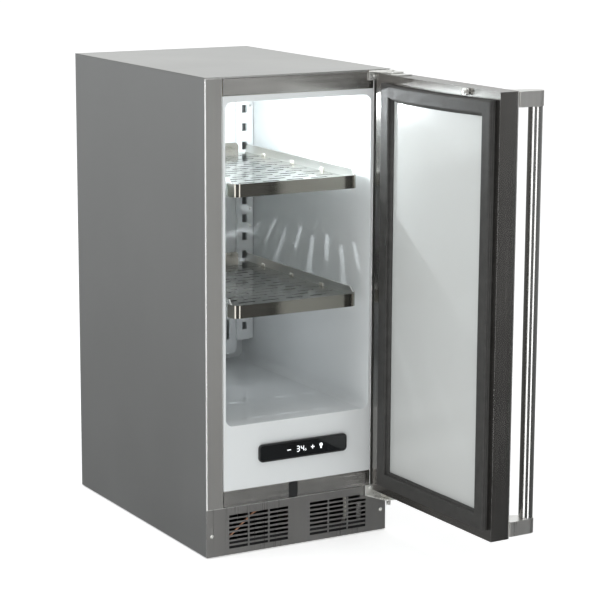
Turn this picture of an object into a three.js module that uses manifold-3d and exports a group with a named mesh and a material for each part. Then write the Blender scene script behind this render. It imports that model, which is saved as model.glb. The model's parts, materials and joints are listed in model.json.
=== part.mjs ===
// Undercounter refrigerator, 15 inch class, with its door standing open.
// Millimetres. +X is to the right seen from the front, the front faces -Y, +Z is up.
// The origin is on the floor, under the middle of the cabinet.

import * as THREE from 'three';
import { mergeVertices } from 'three/addons/utils/BufferGeometryUtils.js';
import Module from 'manifold-3d';

const wasm = await Module();
wasm.setup();

// ---------------------------------------------------------------- driving dimensions

const cabinetWidth = 378;
const cabinetDepth = 550;
const cabinetHeight = 870;
const panelFloorGap = 2;
const sheet = 1;
const gap = 0.3;
const roundSides = 24;

// Outer shell
const frontFlangeWidth = 35;
const frontFlangeReturn = 9;
const rearFlangeWidth = 15;
const topHemHeight = 3;
const rearPanelFoot = 214;
const topRailHeight = 30.6;
const railReturn = 14;
const bottomRailHeight = 30;
const sensorWindowWidth = 18.4;
const sensorWindowLeft = -19;
const sensorWindowDepth = 3;

// Toe grille
const grilleHeight = 91;
const grilleTopReturn = 10;
const ventColumns = 3;
const ventRows = 8;
const ventRowPitch = 8.3;
const ventSlotHeight = 5;
const ventBarWidth = 3.2;
const ventFoot = 13;
const leftVentStart = -143.5;
const leftVentWidth = 122.5;
const rightVentStart = 25;
const rightVentWidth = 120.5;
const grilleScrewInset = 10.3;
const grilleScrewHeight = 41;
const grilleScrewSlot = 20;
const grilleScrewHoleRadius = 2.8;

// Cold compartment
const mouthInset = 40;
const mouthFloor = 241;
const mouthTopInset = 11.1;
const mouthRadius = 14;
const linerWall = 2;
const compartmentDepth = 495;
const foamFloor = 205;

// Evaporator cover, coil and fan at the back of the compartment
const coverStandoff = 50;
const coverWall = 2;
const coverHalfWidth = 147;
const coverSkirtHalfWidth = 110;
const coverSkirtDrop = 28;
const coverCornerRadius = 14;
const coverTopClearance = 3;
const coverFoot = 290;
const returnSlotCount = 16;
const returnSlotPitch = 12;
const returnSlotWidth = 6;
const returnSlotHeight = 40;
const supplySlotCount = 5;
const supplySlotPitch = 11;
const supplySlotWidth = 150;
const supplySlotHeight = 5;
const supplySlotDrop = 22;

// Pilasters and their hook holes
const pilasterInner = 107;
const pilasterOuter = 135;
const pilasterSheet = 1.5;
const pilasterDepth = 7;
const pilasterTopClearance = 8;
const holePitch = 36.5;
const holeWidth = 11;
const holeHeight = 15.5;
const holeSideShift = 3.5;
const coverHoleMargin = 1;
const bottomHoleRise = 28.5;
const topHoleMargin = 14;

// Shelves
const upperShelfHolesFromTop = 3;
const lowerShelfHolesFromBottom = 4;
const shelfHalfWidth = 129.2;
const shelfFrontSetback = 6.5;
const trimHeight = 24;
const trimSheet = 1.5;
const trimCornerRadius = 15;
const trimWrap = 24;
const trimLip = 8;
const trimTopBelowHole = 5;
const deckBelowTrimTop = 7;
const deckSheet = 1.2;
const deckRearGap = 7;
const upstandHalfWidth = 106;
const upstandHeight = 20;
const upstandRadius = 8;
const slotLength = 34;
const slotWidth = 6.5;
const slotPitch = 50;
const slotRowPitch = 23.6;
const slotFirstRow = 46.85;
const slotRearMargin = 24;
const ribOffset = 82;
const ribDepth = 18;
const ribRearMargin = 30;
const bracketSheet = 2;
const bracketRise = 9;
const bracketDrop = 1.5;
const bracketSetback = 14;
const bracketHeelDepth = 26;
const hookReach = 5;
const hookClearance = 2.6;

// Lamp
const lampX = 0;
const lampSetback = 151;
const lampBaseHeight = 8;
const lampBaseWidth = 74;
const lampBaseDepth = 46;
const lampLensHeight = 9;
const lampLensDome = 7;
const lampLensRadius = 17;

// Control panel on the fascia
const bezelWidth = 184;
const bezelHeight = 33;
const bezelFoot = 167;
const bezelOffset = 9;
const bezelThickness = 4.5;
const bezelRadius = 8;
const bezelRim = 2.6;
const windowThickness = 1.4;
const boardWidth = 150;
const boardHeight = 22;
const boardThickness = 7;

// Door
const doorSidePlay = 0.3;
const doorThickness = 40.8;
const doorFoot = 86.3;
const doorTopInset = 6;
const doorStandoff = 12;
const doorReturn = 32;
const doorOuterEdgeRadius = 5.5;
const doorPanelThickness = 2;
const gasketThickness = 11;
const gasketWidth = 30;
const gasketLatchInset = 12.5;
const gasketHingeInset = 29;
const gasketFootInset = 18;
const doorOpenAngle = THREE.MathUtils.degToRad(91.3);
const pivotInset = 17.7;
const pivotForward = 30;

// Handle
const handleRadius = 12.5;
const handleWall = 1.5;
const handleInset = 14;
const handleStandoff = 42.7;
const handleBracketHeight = 26.5;
const handleBracketMargin = 1.5;
const handleBracketRoot = 46;
const handleBracketEndInset = 1;

// Lock
const lockInset = 93;
const lockBelowTop = 7;
const lockBarrelRadius = 4.5;
const lockHeadRadius = 8;
const lockHeadThickness = 2.5;
const lockCamHub = 3.4;
const lockCamLobe = 2.75;
const lockCamLobeCircle = 4.2;
const lockCamLobes = 4;
const lockCamLength = 9;
const lockBarrelProud = 1.6;

// Hinges
const hingeFlangeWidth = 45;
const hingeFlangeSheet = 2;
const hingeFlangeHeight = 18;
const hingeArmSheet = 2.2;
const hingeArmReach = 52;
const topArmClearance = 0.7;
const bottomArmTop = 75;
const hingePinRadius = 4;
const hingePinPlay = 0.35;
const hingeBushingRadius = 8;
const doorHingePlateSheet = 1.5;
const doorHingePlateWidth = 60;
const doorHingePlateDepth = 30;
const stopPinRadius = 4;
const stopPinDrop = 9;

// Base, levelling legs and machine compartment
const panUnderside = 5;
const panSheet = 1.5;
const panLip = 15;
const panFrontSetback = 14;
const panRearSetback = 6;
const embossWidth = 150;
const embossLength = 260;
const embossDrop = 1;
const legInsetX = 37;
const legInsetY = 34;
const legFootRadius = 15;
const legFootHeight = 4;
const legStudRadius = 5;
const legStudHeight = 50;
const compressorX = -88;
const compressorY = 175;
const compressorRadius = 62;
const compressorHeight = 150;
const compressorFootWidth = 170;
const compressorFootDepth = 110;
const compressorFootRise = 9;
const condenserX = -84;
const condenserWidth = 150;
const condenserDepth = 44;
const condenserHeight = 150;
const condenserSetback = 60;
const condenserFins = 8;
const condenserTubes = 3;
const coilTubeRadius = 4;
const finSheet = 1.2;
const shroudSheet = 2;
const shroudGap = 8;
const condenserFanRadius = 58;
const condenserFanDepth = 16;
const motorRadius = 26;
const motorLength = 48;
const fanHubRadius = 15;
const fanBlades = 5;
const bladeSheet = 1.6;
const evaporatorWidth = 210;
const evaporatorFoot = 470;
const evaporatorHeight = 190;
const evaporatorDepth = 32;
const evaporatorFins = 8;
const evaporatorTubes = 3;
const evaporatorFanRadius = 46;
const evaporatorFanCentre = 400;
const evaporatorFanDepth = 14;
const drainPanWidth = 150;
const drainPanDepth = 150;
const drainPanHeight = 34;
const drainPanWall = 2;
const drainPanX = 92;
const drainPanY = 130;
const drierRadius = 12;
const drierLength = 110;
const serviceSlotCount = 9;
const serviceSlotPitch = 11;
const serviceSlotWidth = 120;
const serviceSlotHeight = 5;
const inletWidth = 48;
const inletHeight = 28;
const inletDepth = 26;
const inletWall = 4;
const inletHeightAboveFloor = 150;
const inletX = 120;
const inletPinRadius = 2;
const inletPinLength = 14;

// ---------------------------------------------------------------- derived places

const halfWidth = cabinetWidth / 2;
const front = -cabinetDepth / 2;
const back = cabinetDepth / 2;
const shellInside = halfWidth - sheet - gap;
const flangeInner = halfWidth - frontFlangeWidth;
const railHalf = flangeInner - gap;
const shellTop = cabinetHeight - sheet - gap;
const hemFoot = cabinetHeight - topHemHeight;
const topRailTop = hemFoot - gap;
const topRailFoot = topRailTop - topRailHeight;
const bottomRailFoot = grilleHeight + gap;
const bottomRailTop = bottomRailFoot + bottomRailHeight;
const mouthHalf = halfWidth - mouthInset;
const mouthTop = topRailFoot - mouthTopInset;
const compartmentBack = front + compartmentDepth;
const coverFront = compartmentBack - coverStandoff;
const coverTop = mouthTop - coverTopClearance;
const pilasterFront = coverFront - gap - pilasterDepth;
const pilasterTop = coverTop - pilasterTopClearance;
const bottomHoleCentre = coverFoot + bottomHoleRise;
const holeCount = 1 + Math.floor((pilasterTop - topHoleMargin - bottomHoleCentre) / holePitch);
const holeCentre = (index) => bottomHoleCentre + index * holePitch;
const shelfFront = front + shelfFrontSetback;
const rearPanelInner = back - sheet - gap - sheet;
const foamBack = rearPanelInner - gap;
const doorInner = front - doorStandoff;
const doorOuter = doorInner - doorThickness;
const doorLatch = -halfWidth + doorSidePlay;
const doorHinge = halfWidth - doorSidePlay;
const doorTop = cabinetHeight - doorTopInset;
const pivotX = halfWidth - pivotInset;
const pivotY = front - pivotForward;
const panTop = panUnderside + panSheet;
const grilleFront = front - gap - sheet;

// ---------------------------------------------------------------- finishes

const finish = (color, roughness, metalness) => new THREE.MeshStandardMaterial({ color, roughness, metalness });
const steel = () => finish(0x8d8d8a, 0.34, 1);
const polishedSteel = () => finish(0xb4b2aa, 0.2, 1);
const zincSteel = () => finish(0x9ba0a0, 0.45, 1);
const galvanised = () => finish(0xa4a8aa, 0.55, 0.9);
const whitePlastic = () => finish(0xd5dad8, 0.3, 0);
const blackPlastic = () => finish(0x1b1c1d, 0.35, 0);
const blackVinyl = () => finish(0x3a3a39, 0.6, 0);
const foam = () => finish(0xe3d49a, 0.9, 0);
const copper = () => finish(0xb8714a, 0.35, 1);
const aluminium = () => finish(0xc3c6c8, 0.4, 1);
const blackPaint = () => finish(0x151515, 0.45, 0.2);
const circuitBoard = () => finish(0x1f5a34, 0.6, 0);
const clearLens = () => finish(0xf3f5ee, 0.15, 0);
const darkGlass = () => finish(0x0b0c0d, 0.12, 0);
const natural = () => finish(0xd9d6cc, 0.5, 0);

// ---------------------------------------------------------------- solid helpers

const xAxis = new THREE.Vector3(1, 0, 0);
const yAxis = new THREE.Vector3(0, 1, 0);
const zAxis = new THREE.Vector3(0, 0, 1);
const backward = new THREE.Vector3(0, -1, 0);

// Turns a closed three.js geometry into a solid that can be joined and cut.
function solid(geometry) {
  geometry.deleteAttribute('normal');
  geometry.deleteAttribute('uv');
  const merged = mergeVertices(geometry, 1e-4);
  const vertProperties = new Float32Array(merged.attributes.position.array);
  const triVerts = new Uint32Array(merged.index.array);
  const mesh = new wasm.Mesh({ numProp: 3, vertProperties, triVerts });
  return new wasm.Manifold(mesh);
}

function block(x0, x1, y0, y1, z0, z1) {
  const geometry = new THREE.BoxGeometry(x1 - x0, y1 - y0, z1 - z0);
  geometry.translate((x0 + x1) / 2, (y0 + y1) / 2, (z0 + z1) / 2);
  return solid(geometry);
}

// Turns a geometry made along +Z so that it runs along the named axis.
// On x the outline's (x, y) become (y, z); on y they become (x, z).
function alongAxis(geometry, axis, start, end) {
  const turn = new THREE.Matrix4();
  if (axis === 'x') {
    turn.makeBasis(yAxis, zAxis, xAxis);
    turn.setPosition(start, 0, 0);
  }
  if (axis === 'y') {
    turn.makeBasis(xAxis, zAxis, backward);
    turn.setPosition(0, end, 0);
  }
  if (axis === 'z') {
    turn.setPosition(0, 0, start);
  }
  return geometry.applyMatrix4(turn);
}

// An outline pushed along an axis from start to end.
function slab(outline, axis, start, end, curveSegments = 6) {
  const geometry = new THREE.ExtrudeGeometry(outline, { depth: end - start, bevelEnabled: false, curveSegments });
  return solid(alongAxis(geometry, axis, start, end));
}

// A round bar with its middle at (u, v) in the plane across its axis.
function bar(radius, axis, start, end, u, v, sides = roundSides) {
  const geometry = new THREE.CylinderGeometry(radius, radius, end - start, sides);
  geometry.rotateX(Math.PI / 2);
  geometry.translate(u, v, (end - start) / 2);
  return solid(alongAxis(geometry, axis, start, end));
}

function outline(points) {
  return new THREE.Shape(points.map(([u, v]) => new THREE.Vector2(u, v)));
}

function roundedOutline(u0, u1, v0, v1, radius) {
  const shape = new THREE.Shape();
  shape.moveTo(u0 + radius, v0);
  shape.lineTo(u1 - radius, v0);
  shape.absarc(u1 - radius, v0 + radius, radius, -Math.PI / 2, 0);
  shape.lineTo(u1, v1 - radius);
  shape.absarc(u1 - radius, v1 - radius, radius, 0, Math.PI / 2);
  shape.lineTo(u0 + radius, v1);
  shape.absarc(u0 + radius, v1 - radius, radius, Math.PI / 2, Math.PI);
  shape.lineTo(u0, v0 + radius);
  shape.absarc(u0 + radius, v0 + radius, radius, Math.PI, 1.5 * Math.PI);
  return shape;
}

function joined(pieces) {
  return pieces.reduce((whole, piece) => whole.add(piece));
}

function counted(count, make) {
  return Array.from({ length: count }, (_, index) => make(index));
}

const refrigerator = new THREE.Group();
const doorGroup = new THREE.Group();
doorGroup.position.set(pivotX, pivotY, 0);
doorGroup.rotation.z = doorOpenAngle;
refrigerator.add(doorGroup);

function toGeometry(body) {
  const { vertProperties, triVerts } = body.getMesh();
  const geometry = new THREE.BufferGeometry();
  geometry.setAttribute('position', new THREE.BufferAttribute(vertProperties, 3));
  geometry.setIndex(new THREE.BufferAttribute(triVerts, 1));
  geometry.computeVertexNormals();
  return geometry;
}

function addPart(name, body, material) {
  const mesh = new THREE.Mesh(toGeometry(body), material);
  mesh.name = name;
  refrigerator.add(mesh);
}

// Door pieces are drawn where they lie with the door shut, and swing with the door's group.
function addDoorPart(name, body, material) {
  const geometry = toGeometry(body);
  geometry.translate(-pivotX, -pivotY, 0);
  const mesh = new THREE.Mesh(geometry, material);
  mesh.name = name;
  doorGroup.add(mesh);
}

// ---------------------------------------------------------------- outer shell

function makeSidePanel(side) {
  const u = (x) => side * x;
  const points = [
    [u(flangeInner), front],
    [u(halfWidth), front],
    [u(halfWidth), back],
    [u(halfWidth - rearFlangeWidth), back],
    [u(halfWidth - rearFlangeWidth), back - sheet],
    [u(halfWidth - sheet), back - sheet],
    [u(halfWidth - sheet), front + sheet],
    [u(flangeInner + sheet), front + sheet],
    [u(flangeInner + sheet), front + frontFlangeReturn],
    [u(flangeInner), front + frontFlangeReturn],
  ];
  return slab(outline(points), 'z', panelFloorGap, shellTop);
}

function makeTopPanel() {
  const lid = block(-halfWidth, halfWidth, grilleFront, back, cabinetHeight - sheet, cabinetHeight);
  const hemEnd = halfWidth - hingeFlangeWidth - topHemHeight;
  const hem = block(-halfWidth, hemEnd, grilleFront, grilleFront + sheet, hemFoot, cabinetHeight);
  return lid.add(hem);
}

// A folded rail across the front, open to the back.
function makeRail(foot, top) {
  const points = [
    [front, foot],
    [front + railReturn, foot],
    [front + railReturn, foot + sheet],
    [front + sheet, foot + sheet],
    [front + sheet, top - sheet],
    [front + railReturn, top - sheet],
    [front + railReturn, top],
    [front, top],
  ];
  return slab(outline(points), 'x', -railHalf, railHalf);
}

function makeBottomRail() {
  const left = sensorWindowLeft - gap;
  const right = sensorWindowLeft + sensorWindowWidth + gap;
  const opening = block(left, right, front - sheet, front + sensorWindowDepth + gap, bottomRailFoot - sheet, bottomRailTop + sheet);
  return makeRail(bottomRailFoot, bottomRailTop).subtract(opening);
}

function makeSensorWindow() {
  const right = sensorWindowLeft + sensorWindowWidth;
  return block(sensorWindowLeft, right, front, front + sensorWindowDepth, bottomRailFoot, bottomRailTop);
}

function makeRearPanel() {
  return block(-shellInside, shellInside, rearPanelInner, rearPanelInner + sheet, rearPanelFoot, shellTop);
}

function makeServiceCover() {
  const plate = block(-shellInside, shellInside, rearPanelInner, rearPanelInner + sheet, panUnderside, rearPanelFoot - gap);
  const slots = counted(serviceSlotCount, (row) => {
    const foot = panTop + panLip + serviceSlotPitch * (row + 1);
    const middle = compressorX;
    const reach = serviceSlotWidth / 2;
    return block(middle - reach, middle + reach, rearPanelInner - sheet, back, foot, foot + serviceSlotHeight);
  });
  const inletReach = inletWidth / 2 + gap;
  const inletRise = inletHeight / 2 + gap;
  const inletOpening = block(
    inletX - inletReach,
    inletX + inletReach,
    rearPanelInner - sheet,
    back,
    inletHeightAboveFloor - inletRise,
    inletHeightAboveFloor + inletRise,
  );
  return plate.subtract(joined(slots)).subtract(inletOpening);
}

function makePowerInlet() {
  const x0 = inletX - inletWidth / 2;
  const z0 = inletHeightAboveFloor - inletHeight / 2;
  const rear = rearPanelInner + sheet;
  const shell = block(x0, x0 + inletWidth, rear - inletDepth, rear, z0, z0 + inletHeight);
  const socket = block(
    x0 + inletWall,
    x0 + inletWidth - inletWall,
    rear - inletDepth + inletWall,
    rear + sheet,
    z0 + inletWall,
    z0 + inletHeight - inletWall,
  );
  const pinStart = rear - inletDepth + inletWall - sheet;
  const pinSpread = inletWidth / 5;
  const pins = [-1, 0, 1].map((place) => {
    return bar(inletPinRadius, 'y', pinStart, pinStart + inletPinLength, inletX + place * pinSpread, inletHeightAboveFloor, 8);
  });
  return shell.subtract(socket).add(joined(pins));
}

addPart('left_side_panel', makeSidePanel(-1), steel());
addPart('right_side_panel', makeSidePanel(1), steel());
addPart('top_panel', makeTopPanel(), steel());
addPart('rear_panel', makeRearPanel(), galvanised());
addPart('rear_service_cover', makeServiceCover(), galvanised());
addPart('power_inlet', makePowerInlet(), blackPlastic());
addPart('top_front_rail', makeRail(topRailFoot, topRailTop), steel());
addPart('bottom_front_rail', makeBottomRail(), steel());
addPart('door_sensor_window', makeSensorWindow(), blackPlastic());

// ---------------------------------------------------------------- toe grille

function ventCuts(start, width) {
  const slotWidthHere = (width - ventBarWidth * (ventColumns - 1)) / ventColumns;
  const cuts = [];
  for (let column = 0; column < ventColumns; column += 1) {
    const x0 = start + column * (slotWidthHere + ventBarWidth);
    for (let row = 0; row < ventRows; row += 1) {
      const z0 = ventFoot + row * ventRowPitch;
      cuts.push(block(x0, x0 + slotWidthHere, grilleFront - sheet, front + sheet, z0, z0 + ventSlotHeight));
    }
  }
  return joined(cuts);
}

function makeToeGrille() {
  const face = block(-halfWidth, halfWidth, grilleFront, grilleFront + sheet, panelFloorGap, grilleHeight);
  const returnEnd = front + grilleTopReturn;
  const topFold = block(-railHalf, railHalf, grilleFront, returnEnd, grilleHeight - sheet, grilleHeight);
  const notchStart = halfWidth - hingeFlangeWidth - topHemHeight;
  const notchFoot = bottomArmTop - hingeArmSheet - 1;
  const hingeNotch = block(notchStart, halfWidth + sheet, grilleFront - sheet, returnEnd + sheet, notchFoot, grilleHeight + sheet);
  const cornerVent = block(
    notchStart - ventRowPitch,
    halfWidth + sheet,
    grilleFront - sheet,
    grilleFront + sheet + gap,
    notchFoot - ventSlotHeight,
    grilleHeight - sheet,
  );
  const screwX = halfWidth - grilleScrewInset;
  const r = grilleScrewHoleRadius;
  const slotTop = grilleScrewHeight + grilleScrewSlot - r;
  const leftSlot = roundedOutline(-screwX - r, -screwX + r, grilleScrewHeight - r, slotTop, r - 0.01);
  const slotCut = slab(leftSlot, 'y', grilleFront - sheet, front);
  const holeCut = bar(r, 'y', grilleFront - sheet, front, screwX, grilleScrewHeight, 12);
  const vents = ventCuts(leftVentStart, leftVentWidth).add(ventCuts(rightVentStart, rightVentWidth).subtract(cornerVent));
  return face.add(topFold).subtract(hingeNotch).subtract(vents).subtract(slotCut).subtract(holeCut);
}

addPart('toe_grille', makeToeGrille(), steel());

// ---------------------------------------------------------------- liner and insulation

function makeLiner() {
  const flange = block(-railHalf, railHalf, front, front + linerWall, bottomRailTop + gap, topRailFoot - gap);
  const outer = roundedOutline(
    -mouthHalf - linerWall,
    mouthHalf + linerWall,
    mouthFloor - linerWall,
    mouthTop + linerWall,
    mouthRadius + linerWall,
  );
  const inner = roundedOutline(-mouthHalf, mouthHalf, mouthFloor, mouthTop, mouthRadius);
  const tub = slab(outer, 'y', front, compartmentBack + linerWall);
  const hollow = slab(inner, 'y', front - sheet, compartmentBack);
  const boardMiddle = bezelFoot + bezelHeight / 2;
  const boardReach = boardWidth / 2 + gap;
  const boardRise = boardHeight / 2 + gap;
  const boardOpening = block(
    bezelOffset - boardReach,
    bezelOffset + boardReach,
    front - sheet,
    front + linerWall + sheet,
    boardMiddle - boardRise,
    boardMiddle + boardRise,
  );
  return flange.add(tub).subtract(hollow).subtract(boardOpening);
}

function makeFoam() {
  const bulk = block(-shellInside, shellInside, front + railReturn + gap, foamBack, foamFloor, shellTop - gap);
  const reach = linerWall + gap;
  const tub = roundedOutline(-mouthHalf - reach, mouthHalf + reach, mouthFloor - reach, mouthTop + reach, mouthRadius + reach);
  return bulk.subtract(slab(tub, 'y', front, compartmentBack + reach));
}

addPart('inner_liner', makeLiner(), whitePlastic());
addPart('insulation_foam', makeFoam(), foam());

// ---------------------------------------------------------------- evaporator behind its cover

// The cover's outline: full width above, a narrower skirt with round corners below.
function coverOutline(inset) {
  const wide = coverHalfWidth - inset;
  const skirt = coverSkirtHalfWidth - inset;
  const top = coverTop - inset;
  const step = coverFoot + inset;
  const foot = coverFoot - coverSkirtDrop + inset;
  const radius = coverCornerRadius - inset;
  const shape = new THREE.Shape();
  shape.moveTo(-skirt + radius, foot);
  shape.lineTo(skirt - radius, foot);
  shape.absarc(skirt - radius, foot + radius, radius, -Math.PI / 2, 0);
  shape.lineTo(skirt, step);
  shape.lineTo(wide, step);
  shape.lineTo(wide, top - radius);
  shape.absarc(wide - radius, top - radius, radius, 0, Math.PI / 2);
  shape.lineTo(-wide + radius, top);
  shape.absarc(-wide + radius, top - radius, radius, Math.PI / 2, Math.PI);
  shape.lineTo(-wide, step);
  shape.lineTo(-skirt, step);
  shape.lineTo(-skirt, foot + radius);
  shape.absarc(-skirt + radius, foot + radius, radius, Math.PI, 1.5 * Math.PI);
  return shape;
}

function makeEvaporatorCover() {
  const rear = compartmentBack - gap;
  const tray = slab(coverOutline(0), 'y', coverFront, rear);
  const hollow = slab(coverOutline(coverWall), 'y', coverFront + coverWall, rear + sheet);
  const returnSlots = counted(returnSlotCount, (index) => {
    const middle = (index - (returnSlotCount - 1) / 2) * returnSlotPitch;
    const reach = returnSlotWidth / 2;
    const foot = coverFoot + coverWall;
    return block(middle - reach, middle + reach, coverFront - sheet, coverFront + coverWall + sheet, foot, foot + returnSlotHeight);
  });
  const supplySlots = counted(supplySlotCount, (row) => {
    const top = coverTop - supplySlotDrop - row * supplySlotPitch;
    const reach = supplySlotWidth / 2;
    return block(-reach, reach, coverFront - sheet, coverFront + coverWall + sheet, top - supplySlotHeight, top);
  });
  const hookHoles = [-1, 1].map((side) => {
    return hookHoleCuts(side, coverHoleMargin, coverFront - sheet, coverFront + coverWall + sheet);
  });
  return tray.subtract(hollow).subtract(joined([...returnSlots, ...supplySlots, ...hookHoles]));
}

// Upright plates threaded by tubes, as one brazed coil between two x places.
function makeCoil(x0, x1, y0, y1, z0, z1, finCount, tubeCount) {
  const span = x1 - x0 - finSheet;
  const fins = counted(finCount, (index) => {
    const x = x0 + (span * index) / (finCount - 1);
    return block(x, x + finSheet, y0, y1, z0, z1);
  });
  const tubes = counted(tubeCount, (index) => {
    const z = z0 + ((z1 - z0) * (index + 0.5)) / tubeCount;
    return bar(coilTubeRadius, 'x', x0, x1, (y0 + y1) / 2, z, 8);
  });
  return joined(fins).add(joined(tubes));
}

function makeEvaporator() {
  const y1 = compartmentBack - gap - coverWall;
  const reach = evaporatorWidth / 2;
  return makeCoil(
    -reach,
    reach,
    y1 - evaporatorDepth,
    y1,
    evaporatorFoot,
    evaporatorFoot + evaporatorHeight,
    evaporatorFins,
    evaporatorTubes,
  );
}

// A hub with pitched blades, turning about a line along Y through (x, z).
function makeFan(radius, depth, x, z, y0) {
  const hub = bar(fanHubRadius, 'y', y0, y0 + depth, x, z, 16);
  const bladeLength = radius - fanHubRadius / 2;
  const chord = radius * 0.62;
  const blades = counted(fanBlades, (index) => {
    const geometry = new THREE.BoxGeometry(chord, bladeSheet, bladeLength);
    geometry.rotateZ(Math.asin((depth - 2 * bladeSheet) / chord));
    geometry.translate(0, 0, fanHubRadius / 2 + bladeLength / 2);
    geometry.rotateY((index * 2 * Math.PI) / fanBlades);
    geometry.translate(x, y0 + depth / 2, z);
    return solid(geometry);
  });
  const sweep = bar(radius, 'y', y0, y0 + depth, x, z, 32);
  return joined(blades).add(hub).intersect(sweep);
}

const evaporatorFanStart = compartmentBack - coverStandoff / 2 - evaporatorFanDepth;

addPart('evaporator_cover', makeEvaporatorCover(), whitePlastic());
addPart('evaporator_coil', makeEvaporator(), aluminium());
addPart('evaporator_fan_blade', makeFan(evaporatorFanRadius, evaporatorFanDepth, 0, evaporatorFanCentre, evaporatorFanStart), blackPlastic());
addPart(
  'evaporator_fan_motor',
  bar(motorRadius, 'y', evaporatorFanStart + evaporatorFanDepth + gap, compartmentBack - gap, 0, evaporatorFanCentre),
  blackPaint(),
);

// ---------------------------------------------------------------- pilasters

function hookHoleCuts(side, margin, y0, y1) {
  const outerEdge = (pilasterInner + pilasterOuter + holeWidth) / 2 + holeSideShift;
  const a = side * (outerEdge - holeWidth - margin);
  const b = side * (outerEdge + margin);
  const rise = holeHeight / 2 + margin;
  const holes = counted(holeCount, (index) => {
    const z = holeCentre(index);
    return block(Math.min(a, b), Math.max(a, b), y0, y1, z - rise, z + rise);
  });
  return joined(holes);
}
function makePilaster(side) {
  const inner = side * pilasterInner;
  const outer = side * pilasterOuter;
  const x0 = Math.min(inner, outer);
  const x1 = Math.max(inner, outer);
  const foot = coverFoot;
  const channel = block(x0, x1, pilasterFront, coverFront - gap, foot, pilasterTop);
  const trough = block(
    x0 + pilasterSheet,
    x1 - pilasterSheet,
    pilasterFront + pilasterSheet,
    coverFront,
    foot - sheet,
    pilasterTop + sheet,
  );
  return channel.subtract(trough).subtract(hookHoleCuts(side, 0, pilasterFront - sheet, coverFront));
}

addPart('left_pilaster', makePilaster(-1), whitePlastic());
addPart('right_pilaster', makePilaster(1), whitePlastic());

// ---------------------------------------------------------------- shelves

function makeShelfTrim(trimTop) {
  const rear = shelfFront + trimWrap;
  const ring = (inset) => {
    const half = shelfHalfWidth - inset;
    const radius = trimCornerRadius - inset;
    const shape = new THREE.Shape();
    shape.moveTo(-half, rear + inset);
    shape.lineTo(-half, shelfFront + trimCornerRadius);
    shape.absarc(-half + radius, shelfFront + trimCornerRadius, radius, Math.PI, 1.5 * Math.PI);
    shape.lineTo(half - radius, shelfFront + inset);
    shape.absarc(half - radius, shelfFront + trimCornerRadius, radius, 1.5 * Math.PI, 2 * Math.PI);
    shape.lineTo(half, rear + inset);
    return shape;
  };
  const foot = trimTop - trimHeight;
  const lipTop = foot + trimSheet;
  const between = shelfHalfWidth - trimSheet;
  const bulk = slab(ring(0), 'z', foot, trimTop, 8);
  const inside = slab(ring(trimSheet), 'z', lipTop, trimTop + sheet, 8);
  const lipOpening = slab(ring(trimLip), 'z', foot - sheet, lipTop + sheet, 8);
  const bracketRoom = block(-between, between, shelfFront + bracketSetback - gap, rear + sheet, foot - sheet, lipTop + sheet);
  return bulk.subtract(inside).subtract(lipOpening).subtract(bracketRoom);
}

// The slot rows are staggered: whole rows carry a slot on the middle line, the others straddle it.
function slotCuts(deckTop, y0, y1) {
  const cuts = [];
  let row = 0;
  for (let y = y0 + slotFirstRow; y < y1 - slotRearMargin; y += slotRowPitch) {
    const offset = row % 2 === 0 ? slotPitch / 2 : 0;
    const reach = upstandHalfWidth + slotWidth;
    for (let x = offset; x < reach; x += slotPitch) {
      const places = x === 0 ? [0] : [-x, x];
      for (const place of places) {
        const x0 = place - slotLength / 2;
        cuts.push(block(x0, x0 + slotLength, y, y + slotWidth, deckTop - 2 * deckSheet, deckTop + deckSheet));
      }
    }
    row += 1;
  }
  return joined(cuts);
}

function makeShelfDeck(trimTop) {
  const deckTop = trimTop - deckBelowTrimTop;
  const half = shelfHalfWidth - trimSheet - 2 * gap - bracketSheet;
  const y0 = shelfFront + trimSheet + gap;
  const y1 = pilasterFront - deckRearGap;
  const corner = trimCornerRadius - trimSheet;
  const plate = slab(
    outline([
      [-half + corner, y0],
      [half - corner, y0],
      [half, y0 + corner],
      [half, y1],
      [-half, y1],
      [-half, y0 + corner],
    ]),
    'z',
    deckTop - deckSheet,
    deckTop,
  );
  const upstand = roundedOutline(
    -upstandHalfWidth,
    upstandHalfWidth,
    deckTop - deckSheet - upstandRadius,
    deckTop + upstandHeight,
    upstandRadius,
  );
  const wall = slab(upstand, 'y', y1 - deckSheet, y1).subtract(
    block(-halfWidth, halfWidth, y0, y1 + sheet, deckTop - 2 * upstandHeight, deckTop - deckSheet),
  );
  const ribFoot = deckTop - ribDepth;
  const ribFront = y0 + trimLip;
  const ribRear = y1 - ribRearMargin;
  const channelFront = shelfFront + bracketSetback + gap;
  const channels = [-1, 1].map((side) => {
    const web = side * ribOffset;
    const edge = side * half;
    const rib = block(web - deckSheet / 2, web + deckSheet / 2, ribFront, ribRear, ribFoot, deckTop - deckSheet / 2);
    const floor = block(
      Math.min(web, edge),
      Math.max(web, edge),
      channelFront,
      ribRear,
      ribFoot,
      ribFoot + deckSheet,
    );
    return rib.add(floor);
  });
  return plate.add(wall).subtract(slotCuts(deckTop, y0, y1)).add(joined(channels));
}

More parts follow.
